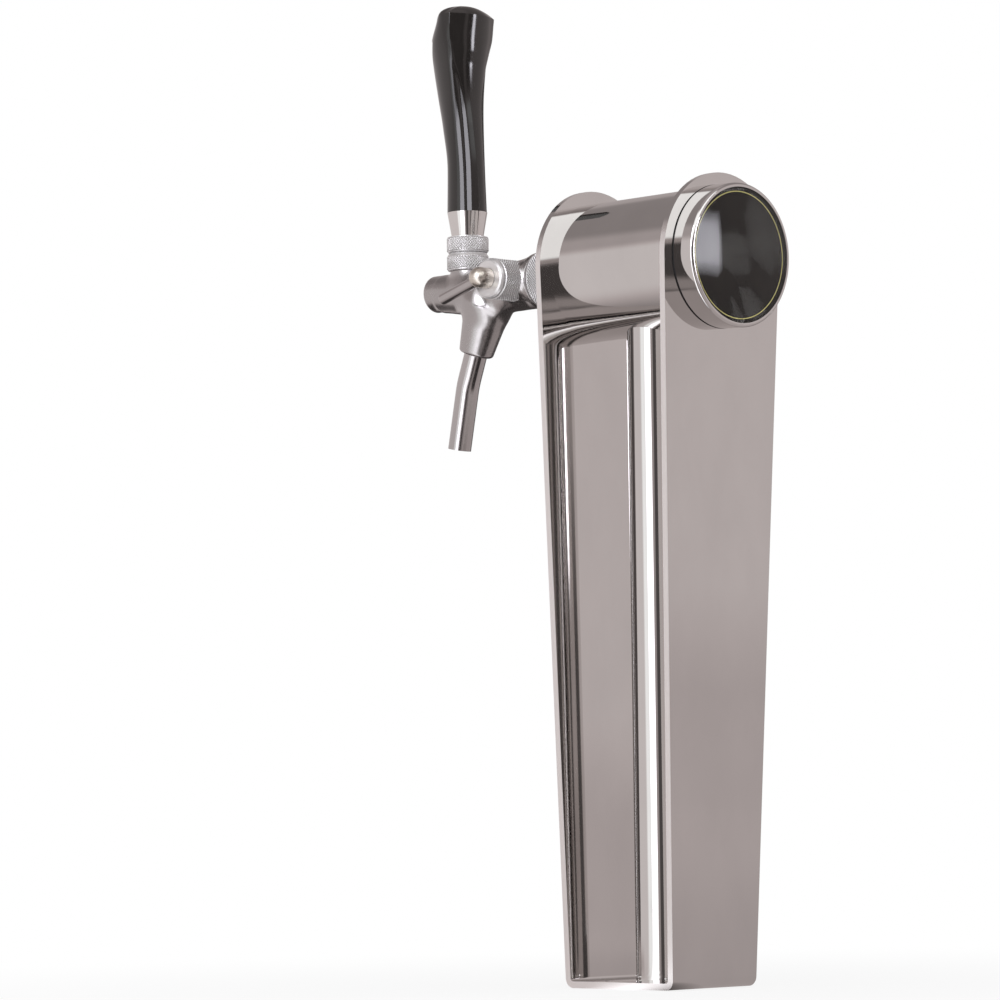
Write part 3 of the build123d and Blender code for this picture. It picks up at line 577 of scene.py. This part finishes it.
# ---------------------------------------------------------------- handle
class TOWER_OT_handle(Builder):
    """Build the black handle with its domed top, nose, side edges and finger hollow"""
    bl_idname = "beer_tower.handle"
    bl_label = "Black handle"

    # Half widths and depths from the handle's axis, as (rise, value) in millimetres.
    WIDTH = ((0, 12.4), (28, 11.8), (54, 12.4), (76, 14.0), (92, 15.8), (102, 17.6), (112, 19.9), (124, 20.6))
    FRONT = ((0, 12.8), (28, 12.6), (54, 16.8), (76, 21.2), (92, 23.8), (102, 24.8), (107, 24.0), (112, 21.6),
             (118, 17.0), (123, 13.0))
    BACK = ((0, 12.4), (28, 11.2), (54, 9.2), (76, 7.6), (92, 8.0), (102, 9.6), (112, 10.8), (124, 12.4))

    # The two side ridges: place beside and behind the axis, and how far they stand out, or in below zero.
    RIDGE_X = ((0, 8.6), (28, 8.3), (54, 8.7), (76, 10.8), (92, 13.9), (110, 17.6), (124, 19.8))
    RIDGE_Y = ((0, 8.9), (28, 7.9), (54, 6.3), (76, 4.9), (92, 3.7), (110, 4.8), (124, 6.4))
    RIDGE_PROUD = ((0, -1.3), (40, -1.5), (68, -1.5), (84, -0.8), (96, 0.2), (110, 1.0), (124, 1.4))
    GROOVE_FLANK, GROOVE_START, GROOVE_REACH, RIDGE_REACH = 4.5, 0.2, 1.6, 8.0

    # The finger hollow: half width between its creases, and its share of the full depth.
    CREASE = ((15, 3.0), (35, 3.4), (68, 4.3), (81, 6.2), (95, 10.2), (104, 13.8), (110, 16.4))
    HOLLOW = ((18, 0.0), (45, 0.07), (68, 0.21), (81, 0.44), (95, 0.78), (104, 0.98), (108, 1.0))
    HOLLOW_ROUND, CREASE_LIMIT = 0.85, 0.94
    LIP, LIP_RISE, LIP_HALF_WIDTH, LIP_BELOW, LIP_SOFT = 107.6, 1.2, 16.0, 2.4, 4.4

    # The top: a rim that drops towards the nose, and a dome over it.
    RIM, RIM_DROP, RIM_RINGS = 124.6, 8.0, 10
    DOME_Y, DOME_ROUND, DOME_END, NOSE_SIDE = 1.0, 2.3, 0.985, 1.6

    # Distance between rings up to a rise, and the number of points in each stretch of a ring.
    RING_STEPS = ((100, 1.5), (104.0, 0.8), (112.0, 0.4))
    BACK_COUNT, RIDGE_COUNT, SIDE_COUNT, HOLLOW_COUNT = 60, 16, 24, 46

    def ridge_turn(self, rise):
        """Angle of the side ridge at that rise."""
        return math.atan2(spline_value(self.RIDGE_Y, rise) / spline_value(self.BACK, rise),
                          spline_value(self.RIDGE_X, rise) / spline_value(self.WIDTH, rise))

    def turns(self, rise):
        """Angles round the outline at that rise, four of them on the ridges and the hollow's creases."""
        width = spline_value(self.WIDTH, rise)
        ridge = self.ridge_turn(rise)
        crease = math.asin(min(self.CREASE_LIMIT, spline_value(self.CREASE, rise) / width))
        front = 1.5 * math.pi
        corners = (0.0, ridge, math.pi - ridge, math.pi, front - crease, front + crease, 2 * math.pi)
        counts = (self.RIDGE_COUNT, self.BACK_COUNT, self.RIDGE_COUNT, self.SIDE_COUNT, self.HOLLOW_COUNT,
                  self.SIDE_COUNT)
        return [a + (b - a) * i / n for a, b, n in zip(corners, corners[1:], counts) for i in range(n)]

    def ridge_height(self, rise, turn, width):
        """How far the side ridge stands out there; below zero where it is a groove."""
        from_side = min(abs(turn), abs(math.pi - turn), abs(turn - 2 * math.pi))
        behind = 1 if math.sin(turn) >= 0 else -1
        past = (from_side * behind - self.ridge_turn(rise)) * width
        proud = spline_value(self.RIDGE_PROUD, rise)
        if proud < 0 and past > 0:
            start = self.GROOVE_START
            climb = smooth_step(start + (1.0 - start) * past / self.GROOVE_FLANK)
            return proud * (1.0 - (climb - smooth_step(start)) / (1.0 - smooth_step(start)))
        reach = self.RIDGE_REACH if proud > 0 else self.GROOVE_REACH
        return proud * max(0.0, 1.0 - abs(past) / reach) ** 2

    def outline(self, rise, turn):
        """Point of the outline at that rise, in millimetres from the handle's axis."""
        width = spline_value(self.WIDTH, rise)
        c, s = math.cos(turn), math.sin(turn)
        depth = spline_value(self.BACK if s >= 0 else self.FRONT, rise)
        x, y = width * c, depth * s
        stretch = 1 + self.ridge_height(rise, turn, width) / math.hypot(x, y)
        x, y = x * stretch, y * stretch
        across = 1.0 - (x / spline_value(self.CREASE, rise)) ** 2
        if s < 0 and across > 0 and rise < self.LIP + self.LIP_SOFT:
            lip = self.LIP + self.LIP_RISE * (x / self.LIP_HALF_WIDTH) ** 2
            under_lip = 1.0 - smooth_step((rise - lip + self.LIP_BELOW) / self.LIP_SOFT)
            full_depth = sizes().scoop_depth * 1000 * spline_value(self.HOLLOW, rise)
            y += full_depth * across ** self.HOLLOW_ROUND * under_lip
        return x, y

    def side_rings(self):
        """Rings from the foot up to the rim, and the angles of the last one."""
        rises, rise = [], 0.0
        for end, step in self.RING_STEPS:
            while rise < end:
                rises.append(rise)
                rise += step
        rings = [[(*self.outline(r, t), r) for t in self.turns(r)] for r in rises]
        turns = self.turns(rises[-1])
        rims = [self.RIM - self.RIM_DROP * max(0.0, -math.sin(t)) ** 1.5 for t in turns]
        for k in range(1, self.RIM_RINGS + 1):
            level = [rises[-1] + (rim - rises[-1]) * k / self.RIM_RINGS for rim in rims]
            rings.append([(*self.outline(r, t), r) for r, t in zip(level, turns)])
        return rings, turns

    def dome_rings(self, rim_ring, turns, height):
        """Rings that close the top, full and round towards the nose and flatter behind."""
        rings, steps = [], sizes().crown_steps
        for k in range(1, steps + 1):
            s = min(self.DOME_END, k / steps)
            ring = []
            for (x, y, rim), t in zip(rim_ring, turns):
                front = smooth_step(0.5 - self.NOSE_SIDE * math.sin(t))
                scale = (1 - front) * (1 - s) + front * math.cos(s * math.pi / 2)
                lift = (1 - front) * (1 - (1 - s) ** self.DOME_ROUND) + front * math.sin(s * math.pi / 2)
                ring.append((x * scale, self.DOME_Y + (y - self.DOME_Y) * scale, rim + (height - rim) * lift))
            rings.append(ring)
        return rings

    def execute(self, context):
        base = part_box("handle")[0].z
        low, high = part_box("handle_collar")
        axis_y = (low.y + high.y) / 2
        rings, turns = self.side_rings()
        rings += self.dome_rings(rings[-1], turns, sizes().handle_height * 1000.0)
        rings = [[Vector((x * 0.001, axis_y + y * 0.001, base + z * 0.001)) for x, y, z in ring]
                 for ring in rings]
        data = grid_mesh("handle_shaped", rings, close_ends=True)
        piece = make_object("handle_shaped", data, "handle", "handle", 34.0)
        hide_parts("handle")
        return {"FINISHED"}


# ---------------------------------------------------------------- distance fields, in millimetres
def smooth_min(a, b, reach):
    """Union of two distance fields with a fillet of about that reach."""
    h = np.clip(0.5 + 0.5 * (b - a) / reach, 0.0, 1.0)
    return b + (a - b) * h - reach * h * (1.0 - h)


def cut_out(a, b, reach=0.5):
    """Field a with field b taken out, its edge eased by reach."""
    return -smooth_min(-a, b, reach)


def rod_field(points, start, direction, length, radius, end_radius=None, rounding=0.0):
    """Distance to a straight rod or cone from start along direction, its edges rounded."""
    direction = np.array(direction, float)
    offset = points - np.array(start, float)
    along = offset @ direction
    out = np.linalg.norm(offset - along[:, None] * direction, axis=1)
    if end_radius is None:
        wall = out - radius
    else:
        slope = (end_radius - radius) / length
        wall = (out - (radius + slope * np.clip(along, 0.0, length))) / math.sqrt(1 + slope * slope)
    ends = np.maximum(-along, along - length)
    wall, ends = wall + rounding, ends + rounding
    inside = np.minimum(np.maximum(wall, ends), 0.0)
    return inside + np.hypot(np.maximum(wall, 0.0), np.maximum(ends, 0.0)) - rounding


def surface_cells(values, counts):
    """Grid cells that the surface crosses, the mean crossing in each, and a grid of their numbers."""
    nx, ny, nz = counts - 1
    total, hits = np.zeros((nx, ny, nz, 3)), np.zeros((nx, ny, nz))
    for axis in range(3):
        others = [i for i in range(3) if i != axis]
        for a, b in ((0, 0), (0, 1), (1, 0), (1, 1)):
            first = [slice(0, n) for n in (nx, ny, nz)]
            first[others[0]] = slice(a, a + counts[others[0]] - 1)
            first[others[1]] = slice(b, b + counts[others[1]] - 1)
            second = list(first)
            second[axis] = slice(1, counts[axis])
            v0, v1 = values[tuple(first)], values[tuple(second)]
            cross = (v0 < 0) != (v1 < 0)
            spot = np.zeros((nx, ny, nz, 3))
            spot[..., axis] = np.where(cross, v0 / np.where(cross, v0 - v1, 1.0), 0.0)
            spot[..., others[0]] = a
            spot[..., others[1]] = b
            total += spot * cross[..., None]
            hits += cross
    active = hits > 0
    number = np.full(active.shape, -1, int)
    number[active] = np.arange(active.sum())
    return np.argwhere(active), total[active] / hits[active][:, None], number


def surface_quads(inside, counts, number):
    """Four cell numbers for each grid edge that the surface crosses, turned to face outwards."""
    quads = []
    for axis in range(3):
        b, c = (axis + 1) % 3, (axis + 2) % 3
        first = [slice(1, counts[i] - 1) for i in range(3)]
        first[axis] = slice(0, counts[axis] - 1)
        second = list(first)
        second[axis] = slice(1, counts[axis])
        s0, s1 = inside[tuple(first)], inside[tuple(second)]
        for flip, crossed in ((False, s0 & ~s1), (True, ~s0 & s1)):
            found = np.argwhere(crossed)
            found[:, b] += 1
            found[:, c] += 1
            corners = []
            for db, dc in ((1, 1), (0, 1), (0, 0), (1, 0)):
                cell = found.copy()
                cell[:, b] -= db
                cell[:, c] -= dc
                corners.append(number[cell[:, 0], cell[:, 1], cell[:, 2]])
            quad = np.stack(corners, 1)
            quads.append(quad[:, ::-1] if flip else quad)
    return np.concatenate(quads)


def settle(points, field, rounds=4, probe=0.05, flattest=0.05, longest=0.3):
    """The points moved onto the surface along the field's slope, in a few short moves."""
    for _ in range(rounds):
        value = field(points)
        slope = np.zeros_like(points)
        for i in range(3):
            shift = np.zeros(3)
            shift[i] = probe
            slope[:, i] = (field(points + shift) - field(points - shift)) / (2 * probe)
        size = np.maximum((slope ** 2).sum(1), flattest)
        points = points - np.clip(value / size, -longest, longest)[:, None] * slope
    return points


def field_mesh(name, field, low, high, step):
    """Closed quad mesh of field = 0, by naive surface nets whose points are then moved onto the field."""
    low, high = np.array(low, float), np.array(high, float)
    counts = np.ceil((high - low) / step).astype(int) + 1
    axes = [low[i] + step * np.arange(counts[i]) for i in range(3)]
    grid = np.stack(np.meshgrid(*axes, indexing="ij"), -1).reshape(-1, 3)
    values = field(grid).reshape(counts)
    cells, crossing, number = surface_cells(values, counts)
    points = settle(low + step * (cells + crossing), field)
    faces = surface_quads(values < 0, counts, number)
    data = bpy.data.meshes.new(name)
    data.from_pydata((points * 0.001).tolist(), [], faces.tolist())
    data.update()
    return data


# ---------------------------------------------------------------- tap body
class TOWER_OT_tap_body(Builder):
    """Build the cast tap body with soft blends between barrel, flare, neck, side boss and spout branch"""
    bl_idname = "beer_tower.tap_body"
    bl_label = "Tap body"

    # Places in millimetres and the frame's axes; the barrel's axis runs forward at HEIGHT.
    HEIGHT, TILT = 433.0, math.radians(21.0)
    BRANCH_Y, NECK_Y, BOSS_Y = -139.6, -161.5, -108.0
    FORWARD, UP, SIDE = (0, -1, 0), (0, 0, 1), (1, 0, 0)
    DOWN = (0.0, -math.sin(TILT), -math.cos(TILT))
    BODY_MIDDLE, BODY_SLACK = 418.0, 12.0

    def on_axis(self, y):
        return (0.0, y, self.HEIGHT)

    def on_branch(self, distance):
        """Point on the spout branch's axis at that distance from the barrel's axis."""
        return tuple(s + d * distance for s, d in zip(self.on_axis(self.BRANCH_Y), self.DOWN))

    def barrel(self, p):
        """Long barrel, its belly leaning down towards the front."""
        lean = 0.11
        tube = rod_field(p, self.on_axis(-112), self.FORWARD, length=79.6, radius=11.6, rounding=2.2)
        belly = rod_field(p, (0, -184.5, self.HEIGHT - 0.6), (0, math.cos(lean), -math.sin(lean)),
                          length=44.0, radius=11.2, end_radius=13.6, rounding=4.0)
        return smooth_min(tube, belly, 2.0)

    def spout_branch(self, p):
        """Tapered branch for the spout, with a round root in the barrel."""
        root = np.linalg.norm(p - np.array(self.on_branch(11.0)), axis=1) - 14.2
        cone = rod_field(p, self.on_branch(11.0), self.DOWN, length=32.9, radius=15.2, end_radius=10.75,
                         rounding=1.8)
        return smooth_min(root, cone, 6.0)

    def tail(self, p):
        """Tail behind the barrel, with the web under it and the flare that the coupling nut pulls on."""
        tube = rod_field(p, self.on_axis(-86.7), self.FORWARD, length=30.0, radius=12.0)
        web = rod_field(p, (0, -97, self.HEIGHT - 7.5), self.FORWARD, length=34.0, radius=9.4, rounding=1.0)
        flare = rod_field(p, self.on_axis(-96.8), self.FORWARD, length=18.0, radius=17.5, end_radius=11.6)
        rim = rod_field(p, self.on_axis(-93.8), self.FORWARD, length=3.0, radius=17.5, rounding=0.4)
        return smooth_min(np.minimum(flare, rim), smooth_min(tube, web, 6.0), 1.5)

    def hollows(self):
        """Bores and seats, each as start, direction, length and radius."""
        h = self.HEIGHT
        return (
            (self.on_axis(self.NECK_Y), self.UP, 20, 6.2),
            ((0, self.NECK_Y, h + 9.2), self.UP, 12, 7.15),
            (self.on_axis(-80), self.FORWARD, 47, 8.0),
            (self.on_axis(-120), self.FORWARD, 76, 5.4),
            (self.on_axis(-130), self.FORWARD, 66, 7.0),
            (self.on_axis(-185.0), self.FORWARD, 10, 8.42),
            (self.on_axis(-189.6), self.FORWARD, 6, 9.2),
            (self.on_branch(0), self.DOWN, 50, 5.5),
            (self.on_branch(31.9), self.DOWN, 20, 7.27),
            (self.on_branch(41.9), self.DOWN, 8, 8.75),
            (self.on_axis(self.BOSS_Y), self.SIDE, 25, 4.1),
            ((9.5, self.BOSS_Y, h), self.SIDE, 12, 8.1))

    def field(self, p):
        """Distance to the casting."""
        body = smooth_min(self.barrel(p), self.spout_branch(p), 7.0)
        body = smooth_min(body, self.tail(p), 7.0)
        neck = rod_field(p, self.on_axis(self.NECK_Y), self.UP, length=12.3, radius=10.7, rounding=0.4)
        body = smooth_min(body, neck, 4.0)
        boss = rod_field(p, self.on_axis(self.BOSS_Y), self.SIDE, length=17.8, radius=12.0, rounding=0.4)
        body = smooth_min(body, boss, 5.0)
        seat = rod_field(p, (0, self.NECK_Y, self.HEIGHT + 8), self.UP, length=8.8, radius=9.5, rounding=0.3)
        body = np.minimum(body, seat)
        for start, direction, length, radius in self.hollows():
            body = cut_out(body, rod_field(p, start, direction, length, radius))
        return body

    def execute(self, context):
        low, high = (v * 1000 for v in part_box("tap_body"))
        step = sizes().casting_grid * 1000
        self.stop_unless(abs((low.z + high.z) / 2 - self.BODY_MIDDLE) < self.BODY_SLACK,
                         "the tap body isn't where its shape expects it")
        margin = 4 * step
        data = field_mesh("tap_body_cast", self.field, [v - margin for v in low], [v + margin for v in high],
                          step)
        piece = make_object("tap_body_cast", data, "cast", "tower", 60.0)
        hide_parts("tap_body")
        return {"FINISHED"}


# ---------------------------------------------------------------- badge
class TOWER_OT_badge_line(Builder):
    """Lay the thin gold circle line on the badge disc"""
    bl_idname = "beer_tower.badge_line"
    bl_label = "Badge circle line"

    THICKNESS, TOP_SHARE, AROUND = 0.00006, 0.8, 160

    def execute(self, context):
        low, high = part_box("badge_disc")
        centre = (low + high) / 2
        normal = Vector((0.0, 1.0, -sizes().band_lean)).normalized()
        place = axis_frame(centre, normal, (1, 0, 0))
        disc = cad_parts["badge_disc"].data
        face = max((vertex.co - centre).dot(normal) for vertex in disc.vertices)
        radius, half = sizes().circle_line_radius, sizes().circle_line_width / 2
        top = half * self.TOP_SHARE
        section = ((-half, 0.0), (-top, self.THICKNESS), (top, self.THICKNESS), (half, 0.0), (-half, 0.0))
        rings = [circle(place, radius + out, face + height, self.AROUND) for out, height in section]
        data = grid_mesh("badge_circle_line", rings)
        make_object("badge_circle_line", data, "gold", "tower")
        return {"FINISHED"}


# ---------------------------------------------------------------- stage
class TOWER_OT_stage(Builder):
    """Set up the camera, floor, soft light and the studio cards that the steel mirrors"""
    bl_idname = "beer_tower.stage"
    bl_label = "Camera and studio"

    # Camera place in metres and turn in degrees, focal length and sensor width in millimetres.
    CAMERA_PLACE = (1.874328, 1.786119, 0.108380)
    CAMERA_TURN = (94.05039, 0.79800, 134.39651)
    FOCAL_LENGTH, SENSOR_WIDTH, SHIFT_X = 155.412, 36.0, -0.103
    AIM = Vector((0.0, 0.0, 0.3))
    WHITE = (1.0, 1.0, 1.0, 1.0)

    # Cards of the light tent: its azimuths from +X towards +Y, its elevations, its level and its soft edge,
    # all angles in degrees.
    CARDS = (
        ("overhead", -200, 200, 38, 66, 0.28, 8),
        ("zenith", -200, 200, 72, 95, 0.45, 10),
        ("front_sheet", -125, -20, -34, 24, 0.66, 9),
        ("front_black", -172, -118, -95, 5, 0.09, 9),
        ("side_sheet", -20, 25, -60, 62, 1.05, 8),
        ("left_strip", 0, 23, -12, 12.5, 2.80, 2.5),
        ("left_strip_top", 0, 23, 12.5, 40, 5.00, 2.5),
        ("side_grey", 25, 60, -52, 16, 0.36, 5),
        ("camera_black", 33, 49, -52, 16, 0.08, 4),
        ("handle_strip", 1, 33, 13, 26, 5.60, 1.5),
        ("dark_side", 58, 122, -52, 16, 0.10, 5),
        ("grey_edge", 97, 107, -52, 16, 0.42, 4),
        ("overhead_box", 20, 118, 22, 56, 1.30, 4),
        ("wall", 121, 188, -95, 32, 0.56, 4),
        ("wall_foot", 121, 188, -95, -3, 0.47, 3),
        ("window", 121, 128, 4.5, 13.5, 10.00, 1.5),
    )
    ROOM_LEVEL = 0.42
    TENT_RADIUS, TENT_COLUMNS, TENT_ROWS = 2.2, 240, 120

    # The mirrored table top: half its side and its grid. Its level behind the tower, in front of it and on a
    # dark mat; a fade is where it starts and how long it is, in metres or, at the edge, in degrees.
    TABLE_HALF, TABLE_COUNT, TABLE_DROP, TABLE_ELEVATION = 2.0, 120, 0.0002, -12.0
    BEHIND_FROM, BEHIND_LEVEL, BEHIND_GAIN, BEHIND_FADE = 60, 0.43, 0.05, (0.3, 1.1)
    FRONT_FROM, FRONT_LEVEL, FRONT_GAIN, FRONT_FADE, FRONT_EDGE = -75, 0.07, 0.60, (0.75, 0.4), (-122, 8)
    MAT_PLACE, MAT_SPREAD, MAT_LEVEL = (-0.05, -0.5), 0.3, 0.05

    # Shares that a middle grey lacks of green and blue, and that a lamp, from its level up, lacks of red.
    WARM_GREEN, WARM_BLUE, COOL_RED, COOL_GREEN, LAMP_LEVEL = 0.115, 0.128, 0.06, 1.3, 1.4

    def tone(self, azimuth, elevation):
        """Level of the studio in that direction."""
        level = self.ROOM_LEVEL
        for _, west, east, low, high, card, soft in self.CARDS:
            sideways = abs((azimuth - (west + east) / 2 + 180) % 360 - 180)
            inside = min((east - west) / 2 - sideways, elevation - low, high - elevation)
            level += (card - level) * smooth_step(inside / soft + 0.5)
        return level

    def fade(self, value, start, length):
        return smooth_step((value - start) / length)

    def table_tone(self, x, y):
        """Level of the table top that the steel mirrors."""
        azimuth, distance = math.degrees(math.atan2(y, x)), math.hypot(x, y)
        level = self.tone(azimuth, self.TABLE_ELEVATION)
        if azimuth > self.BEHIND_FROM:
            level = self.BEHIND_LEVEL + self.BEHIND_GAIN * self.fade(distance, *self.BEHIND_FADE)
        elif azimuth < self.FRONT_FROM:
            away = self.fade(distance, *self.FRONT_FADE) * self.fade(azimuth, *self.FRONT_EDGE)
            level = self.FRONT_LEVEL + self.FRONT_GAIN * away
        off_mat = (x - self.MAT_PLACE[0]) ** 2 + (y - self.MAT_PLACE[1]) ** 2
        mat = math.exp(-off_mat / self.MAT_SPREAD ** 2)
        return level * (1 - mat) + self.MAT_LEVEL * mat

    def grey(self, level):
        """Levels run slightly warm in the middle greys, neutral near white and cool in the lamps."""
        warm = max(0.0, min(1.0, (1.0 - level) / 0.5))
        cool = self.COOL_RED * smooth_step(level - self.LAMP_LEVEL)
        green = 1 - self.WARM_GREEN * warm - self.COOL_GREEN * cool
        return (level * (1 - cool), level * green, level * (1 - self.WARM_BLUE * warm), 1.0)

    def mirrored_piece(self, name, points, faces, levels):
        """A stage piece that glows with a level at each point and that only reflections see."""
        mesh = bpy.data.meshes.new(name)
        mesh.from_pydata(points, [], faces)
        paint = mesh.attributes.new("level", "FLOAT_COLOR", "POINT")
        paint.data.foreach_set("color", [c for level in levels for c in self.grey(level)])
        piece = bpy.data.objects.new(name, mesh)
        bpy.context.scene.collection.objects.link(piece)
        glowing = bpy.data.materials.new(name)
        glowing.use_nodes = True
        tree = glowing.node_tree
        tree.nodes.clear()
        level = add_node(tree, "ShaderNodeAttribute", attribute_name="level").outputs["Color"]
        glow = add_node(tree, "ShaderNodeEmission", {"Color": level, "Strength": 1.0}).outputs["Emission"]
        add_node(tree, "ShaderNodeOutputMaterial", {"Surface": glow})
        mesh.materials.append(glowing)
        for ray in ("camera", "diffuse", "transmission", "volume_scatter", "shadow"):
            setattr(piece, "visible_" + ray, False)

    def tent(self):
        """A closed light tent round the object, its walls from white to dark."""
        columns, rows = self.TENT_COLUMNS, self.TENT_ROWS
        points, levels, faces = [], [], []
        for j in range(rows + 1):
            elevation = -90 + 180 * j / rows
            for i in range(columns):
                azimuth = -180 + 360 * i / columns
                a, e = math.radians(azimuth), math.radians(elevation)
                ray = Vector((math.cos(a) * math.cos(e), math.sin(a) * math.cos(e), math.sin(e)))
                points.append(self.AIM + self.TENT_RADIUS * ray)
                levels.append(self.tone(azimuth, elevation))
        for j in range(rows):
            for i in range(columns):
                k = (i + 1) % columns
                low, high = j * columns, (j + 1) * columns
                faces.append((low + i, low + k, high + k, high + i))
        self.mirrored_piece("light_tent", points, faces, levels)

    def table(self):
        """The table top as reflections see it."""
        half, count = self.TABLE_HALF, self.TABLE_COUNT
        points, levels, faces = [], [], []
        for j in range(count + 1):
            for i in range(count + 1):
                x, y = half * (2 * i / count - 1), half * (2 * j / count - 1)
                points.append((x, y, -self.TABLE_DROP))
                levels.append(self.table_tone(x, y))
        for j in range(count):
            for i in range(count):
                k = j * (count + 1) + i
                faces.append((k, k + 1, k + count + 2, k + count + 1))
        self.mirrored_piece("table_tone", points, faces, levels)

    def soft_lamp(self, azimuth, height, side, level, distance):
        """A square softbox of that side in metres, aimed at the tower, that lights without being mirrored."""
        lamp = bpy.data.objects.new("soft_lamp", bpy.data.lights.new("soft_lamp", "AREA"))
        bpy.context.scene.collection.objects.link(lamp)
        lamp.data.shape = "SQUARE"
        lamp.data.size = side
        lamp.data.energy = level * math.pi * side * side
        a = math.radians(azimuth)
        lamp.location = (distance * math.cos(a), distance * math.sin(a), height)
        lamp.rotation_euler = (self.AIM - lamp.location).to_track_quat("-Z", "Y").to_euler()
        lamp.visible_camera = False
        lamp.visible_glossy = False

    def camera(self, scene):
        camera = bpy.data.objects.new("camera", bpy.data.cameras.new("camera"))
        scene.collection.objects.link(camera)
        camera.location = self.CAMERA_PLACE
        camera.rotation_euler = tuple(math.radians(v) for v in self.CAMERA_TURN)
        camera.data.sensor_width = self.SENSOR_WIDTH
        camera.data.lens = self.FOCAL_LENGTH
        camera.data.shift_x = self.SHIFT_X
        camera.data.clip_start = 0.05
        camera.data.clip_end = 60.0
        scene.camera = camera

    def world(self, scene):
        """White for the camera, mirrors and glass, and a softer light for everything else."""
        world = bpy.data.worlds.new("studio")
        scene.world = world
        world.use_nodes = True
        tree = world.node_tree
        tree.nodes.clear()
        ray = add_node(tree, "ShaderNodeLightPath").outputs
        seen = maths(tree, "MAXIMUM", ray["Is Camera Ray"], ray["Is Glossy Ray"])
        seen = maths(tree, "MAXIMUM", seen, ray["Is Transmission Ray"])
        soft = add_node(tree, "ShaderNodeBackground", {"Color": (0.98, 0.98, 1.0, 1.0), "Strength": 0.62})
        white = add_node(tree, "ShaderNodeBackground", {"Color": self.WHITE, "Strength": 1.0})
        both = {"Fac": seen, 1: soft.outputs["Background"], 2: white.outputs["Background"]}
        shown = add_node(tree, "ShaderNodeMixShader", both).outputs["Shader"]
        add_node(tree, "ShaderNodeOutputWorld", {"Surface": shown})

    def floor(self, scene, half=9.0, drop=0.0005):
        """Plain pale floor, white for the camera but for a faint shadow round the tower's foot, partly
        painted shade: a grey pool by distance from the foot, in which the real shadow shows.
        """
        mesh = bpy.data.meshes.new("floor")
        mesh.from_pydata([(-half, -half, 0), (half, -half, 0), (half, half, 0), (-half, half, 0)], [],
                         [(0, 1, 2, 3)])
        floor = bpy.data.objects.new("floor", mesh)
        scene.collection.objects.link(floor)
        pale = {"Base Color": (0.93, 0.93, 0.93, 1.0), "Roughness": 0.9, "Specular IOR Level": 0.1}
        paper, tree, shader = new_material("pale_floor", **pale)
        glow = add_node(tree, "ShaderNodeEmission", {"Color": self.WHITE, "Strength": 1.0})
        spot = add_node(tree, "ShaderNodeTexCoord").outputs["Object"]
        away = add_node(tree, "ShaderNodeVectorMath", {0: spot}, operation="LENGTH").outputs["Value"]
        # painted shade: nearer the foot the glow weakens to a grey pool by distance alone, through which the
        # real shadow shows
        lit = map_range(tree, away, 0.86, 1.0, start=0.05, end=0.75, interpolation_type="SMOOTHSTEP")
        ray = add_node(tree, "ShaderNodeLightPath").outputs
        fade = maths(tree, "MULTIPLY", ray["Is Camera Ray"], lit)
        both = {"Fac": fade, 1: shader.outputs["BSDF"], 2: glow.outputs["Emission"]}
        shown = add_node(tree, "ShaderNodeMixShader", both).outputs["Shader"]
        set_inputs(tree, tree.nodes["Material Output"], {"Surface": shown})
        mesh.materials.append(paper)
        floor.location = (0.0, 0.0, -drop)

    def execute(self, context):
        self.camera(context.scene)
        self.world(context.scene)
        self.soft_lamp(azimuth=12.0, height=1.1, side=1.6, level=0.55, distance=2.0)
        self.floor(context.scene)
        self.tent()
        self.table()
        return {"FINISHED"}


class TOWER_PT_panel(bpy.types.Panel):
    bl_label = "Beer Tower"
    bl_idname = "TOWER_PT_panel"
    bl_space_type = "VIEW_3D"
    bl_region_type = "UI"
    bl_category = "Beer Tower"

    def draw(self, context):
        column = self.layout.column()
        for name in TowerSizes.__annotations__:
            column.prop(context.scene.beer_tower_sizes, name)
        for name in TowerFinish.__annotations__:
            column.prop(context.scene.beer_tower_finish, name)
        for step in STEPS:
            column.operator(step.bl_idname)


STEPS = (TOWER_OT_finishes, TOWER_OT_knurled_nuts, TOWER_OT_tap_body, TOWER_OT_handle, TOWER_OT_badge_line,
         TOWER_OT_stage)
CLASSES = (TowerSizes, TowerFinish, *STEPS, TOWER_PT_panel)


def register():
    for cls in CLASSES:
        bpy.utils.register_class(cls)
    bpy.types.Scene.beer_tower_sizes = PointerProperty(type=TowerSizes)
    bpy.types.Scene.beer_tower_finish = PointerProperty(type=TowerFinish)


def unregister():
    del bpy.types.Scene.beer_tower_finish
    del bpy.types.Scene.beer_tower_sizes
    for cls in reversed(CLASSES):
        bpy.utils.unregister_class(cls)


def main():
    register()
    scene = bpy.context.scene
    scene.view_settings.view_transform = "Standard"
    bpy.ops.beer_tower.finishes()
    bpy.ops.beer_tower.knurled_nuts()
    bpy.ops.beer_tower.tap_body()
    bpy.ops.beer_tower.handle()
    bpy.ops.beer_tower.badge_line()
    bpy.ops.beer_tower.stage()


if __name__ == "__main__":
    main()
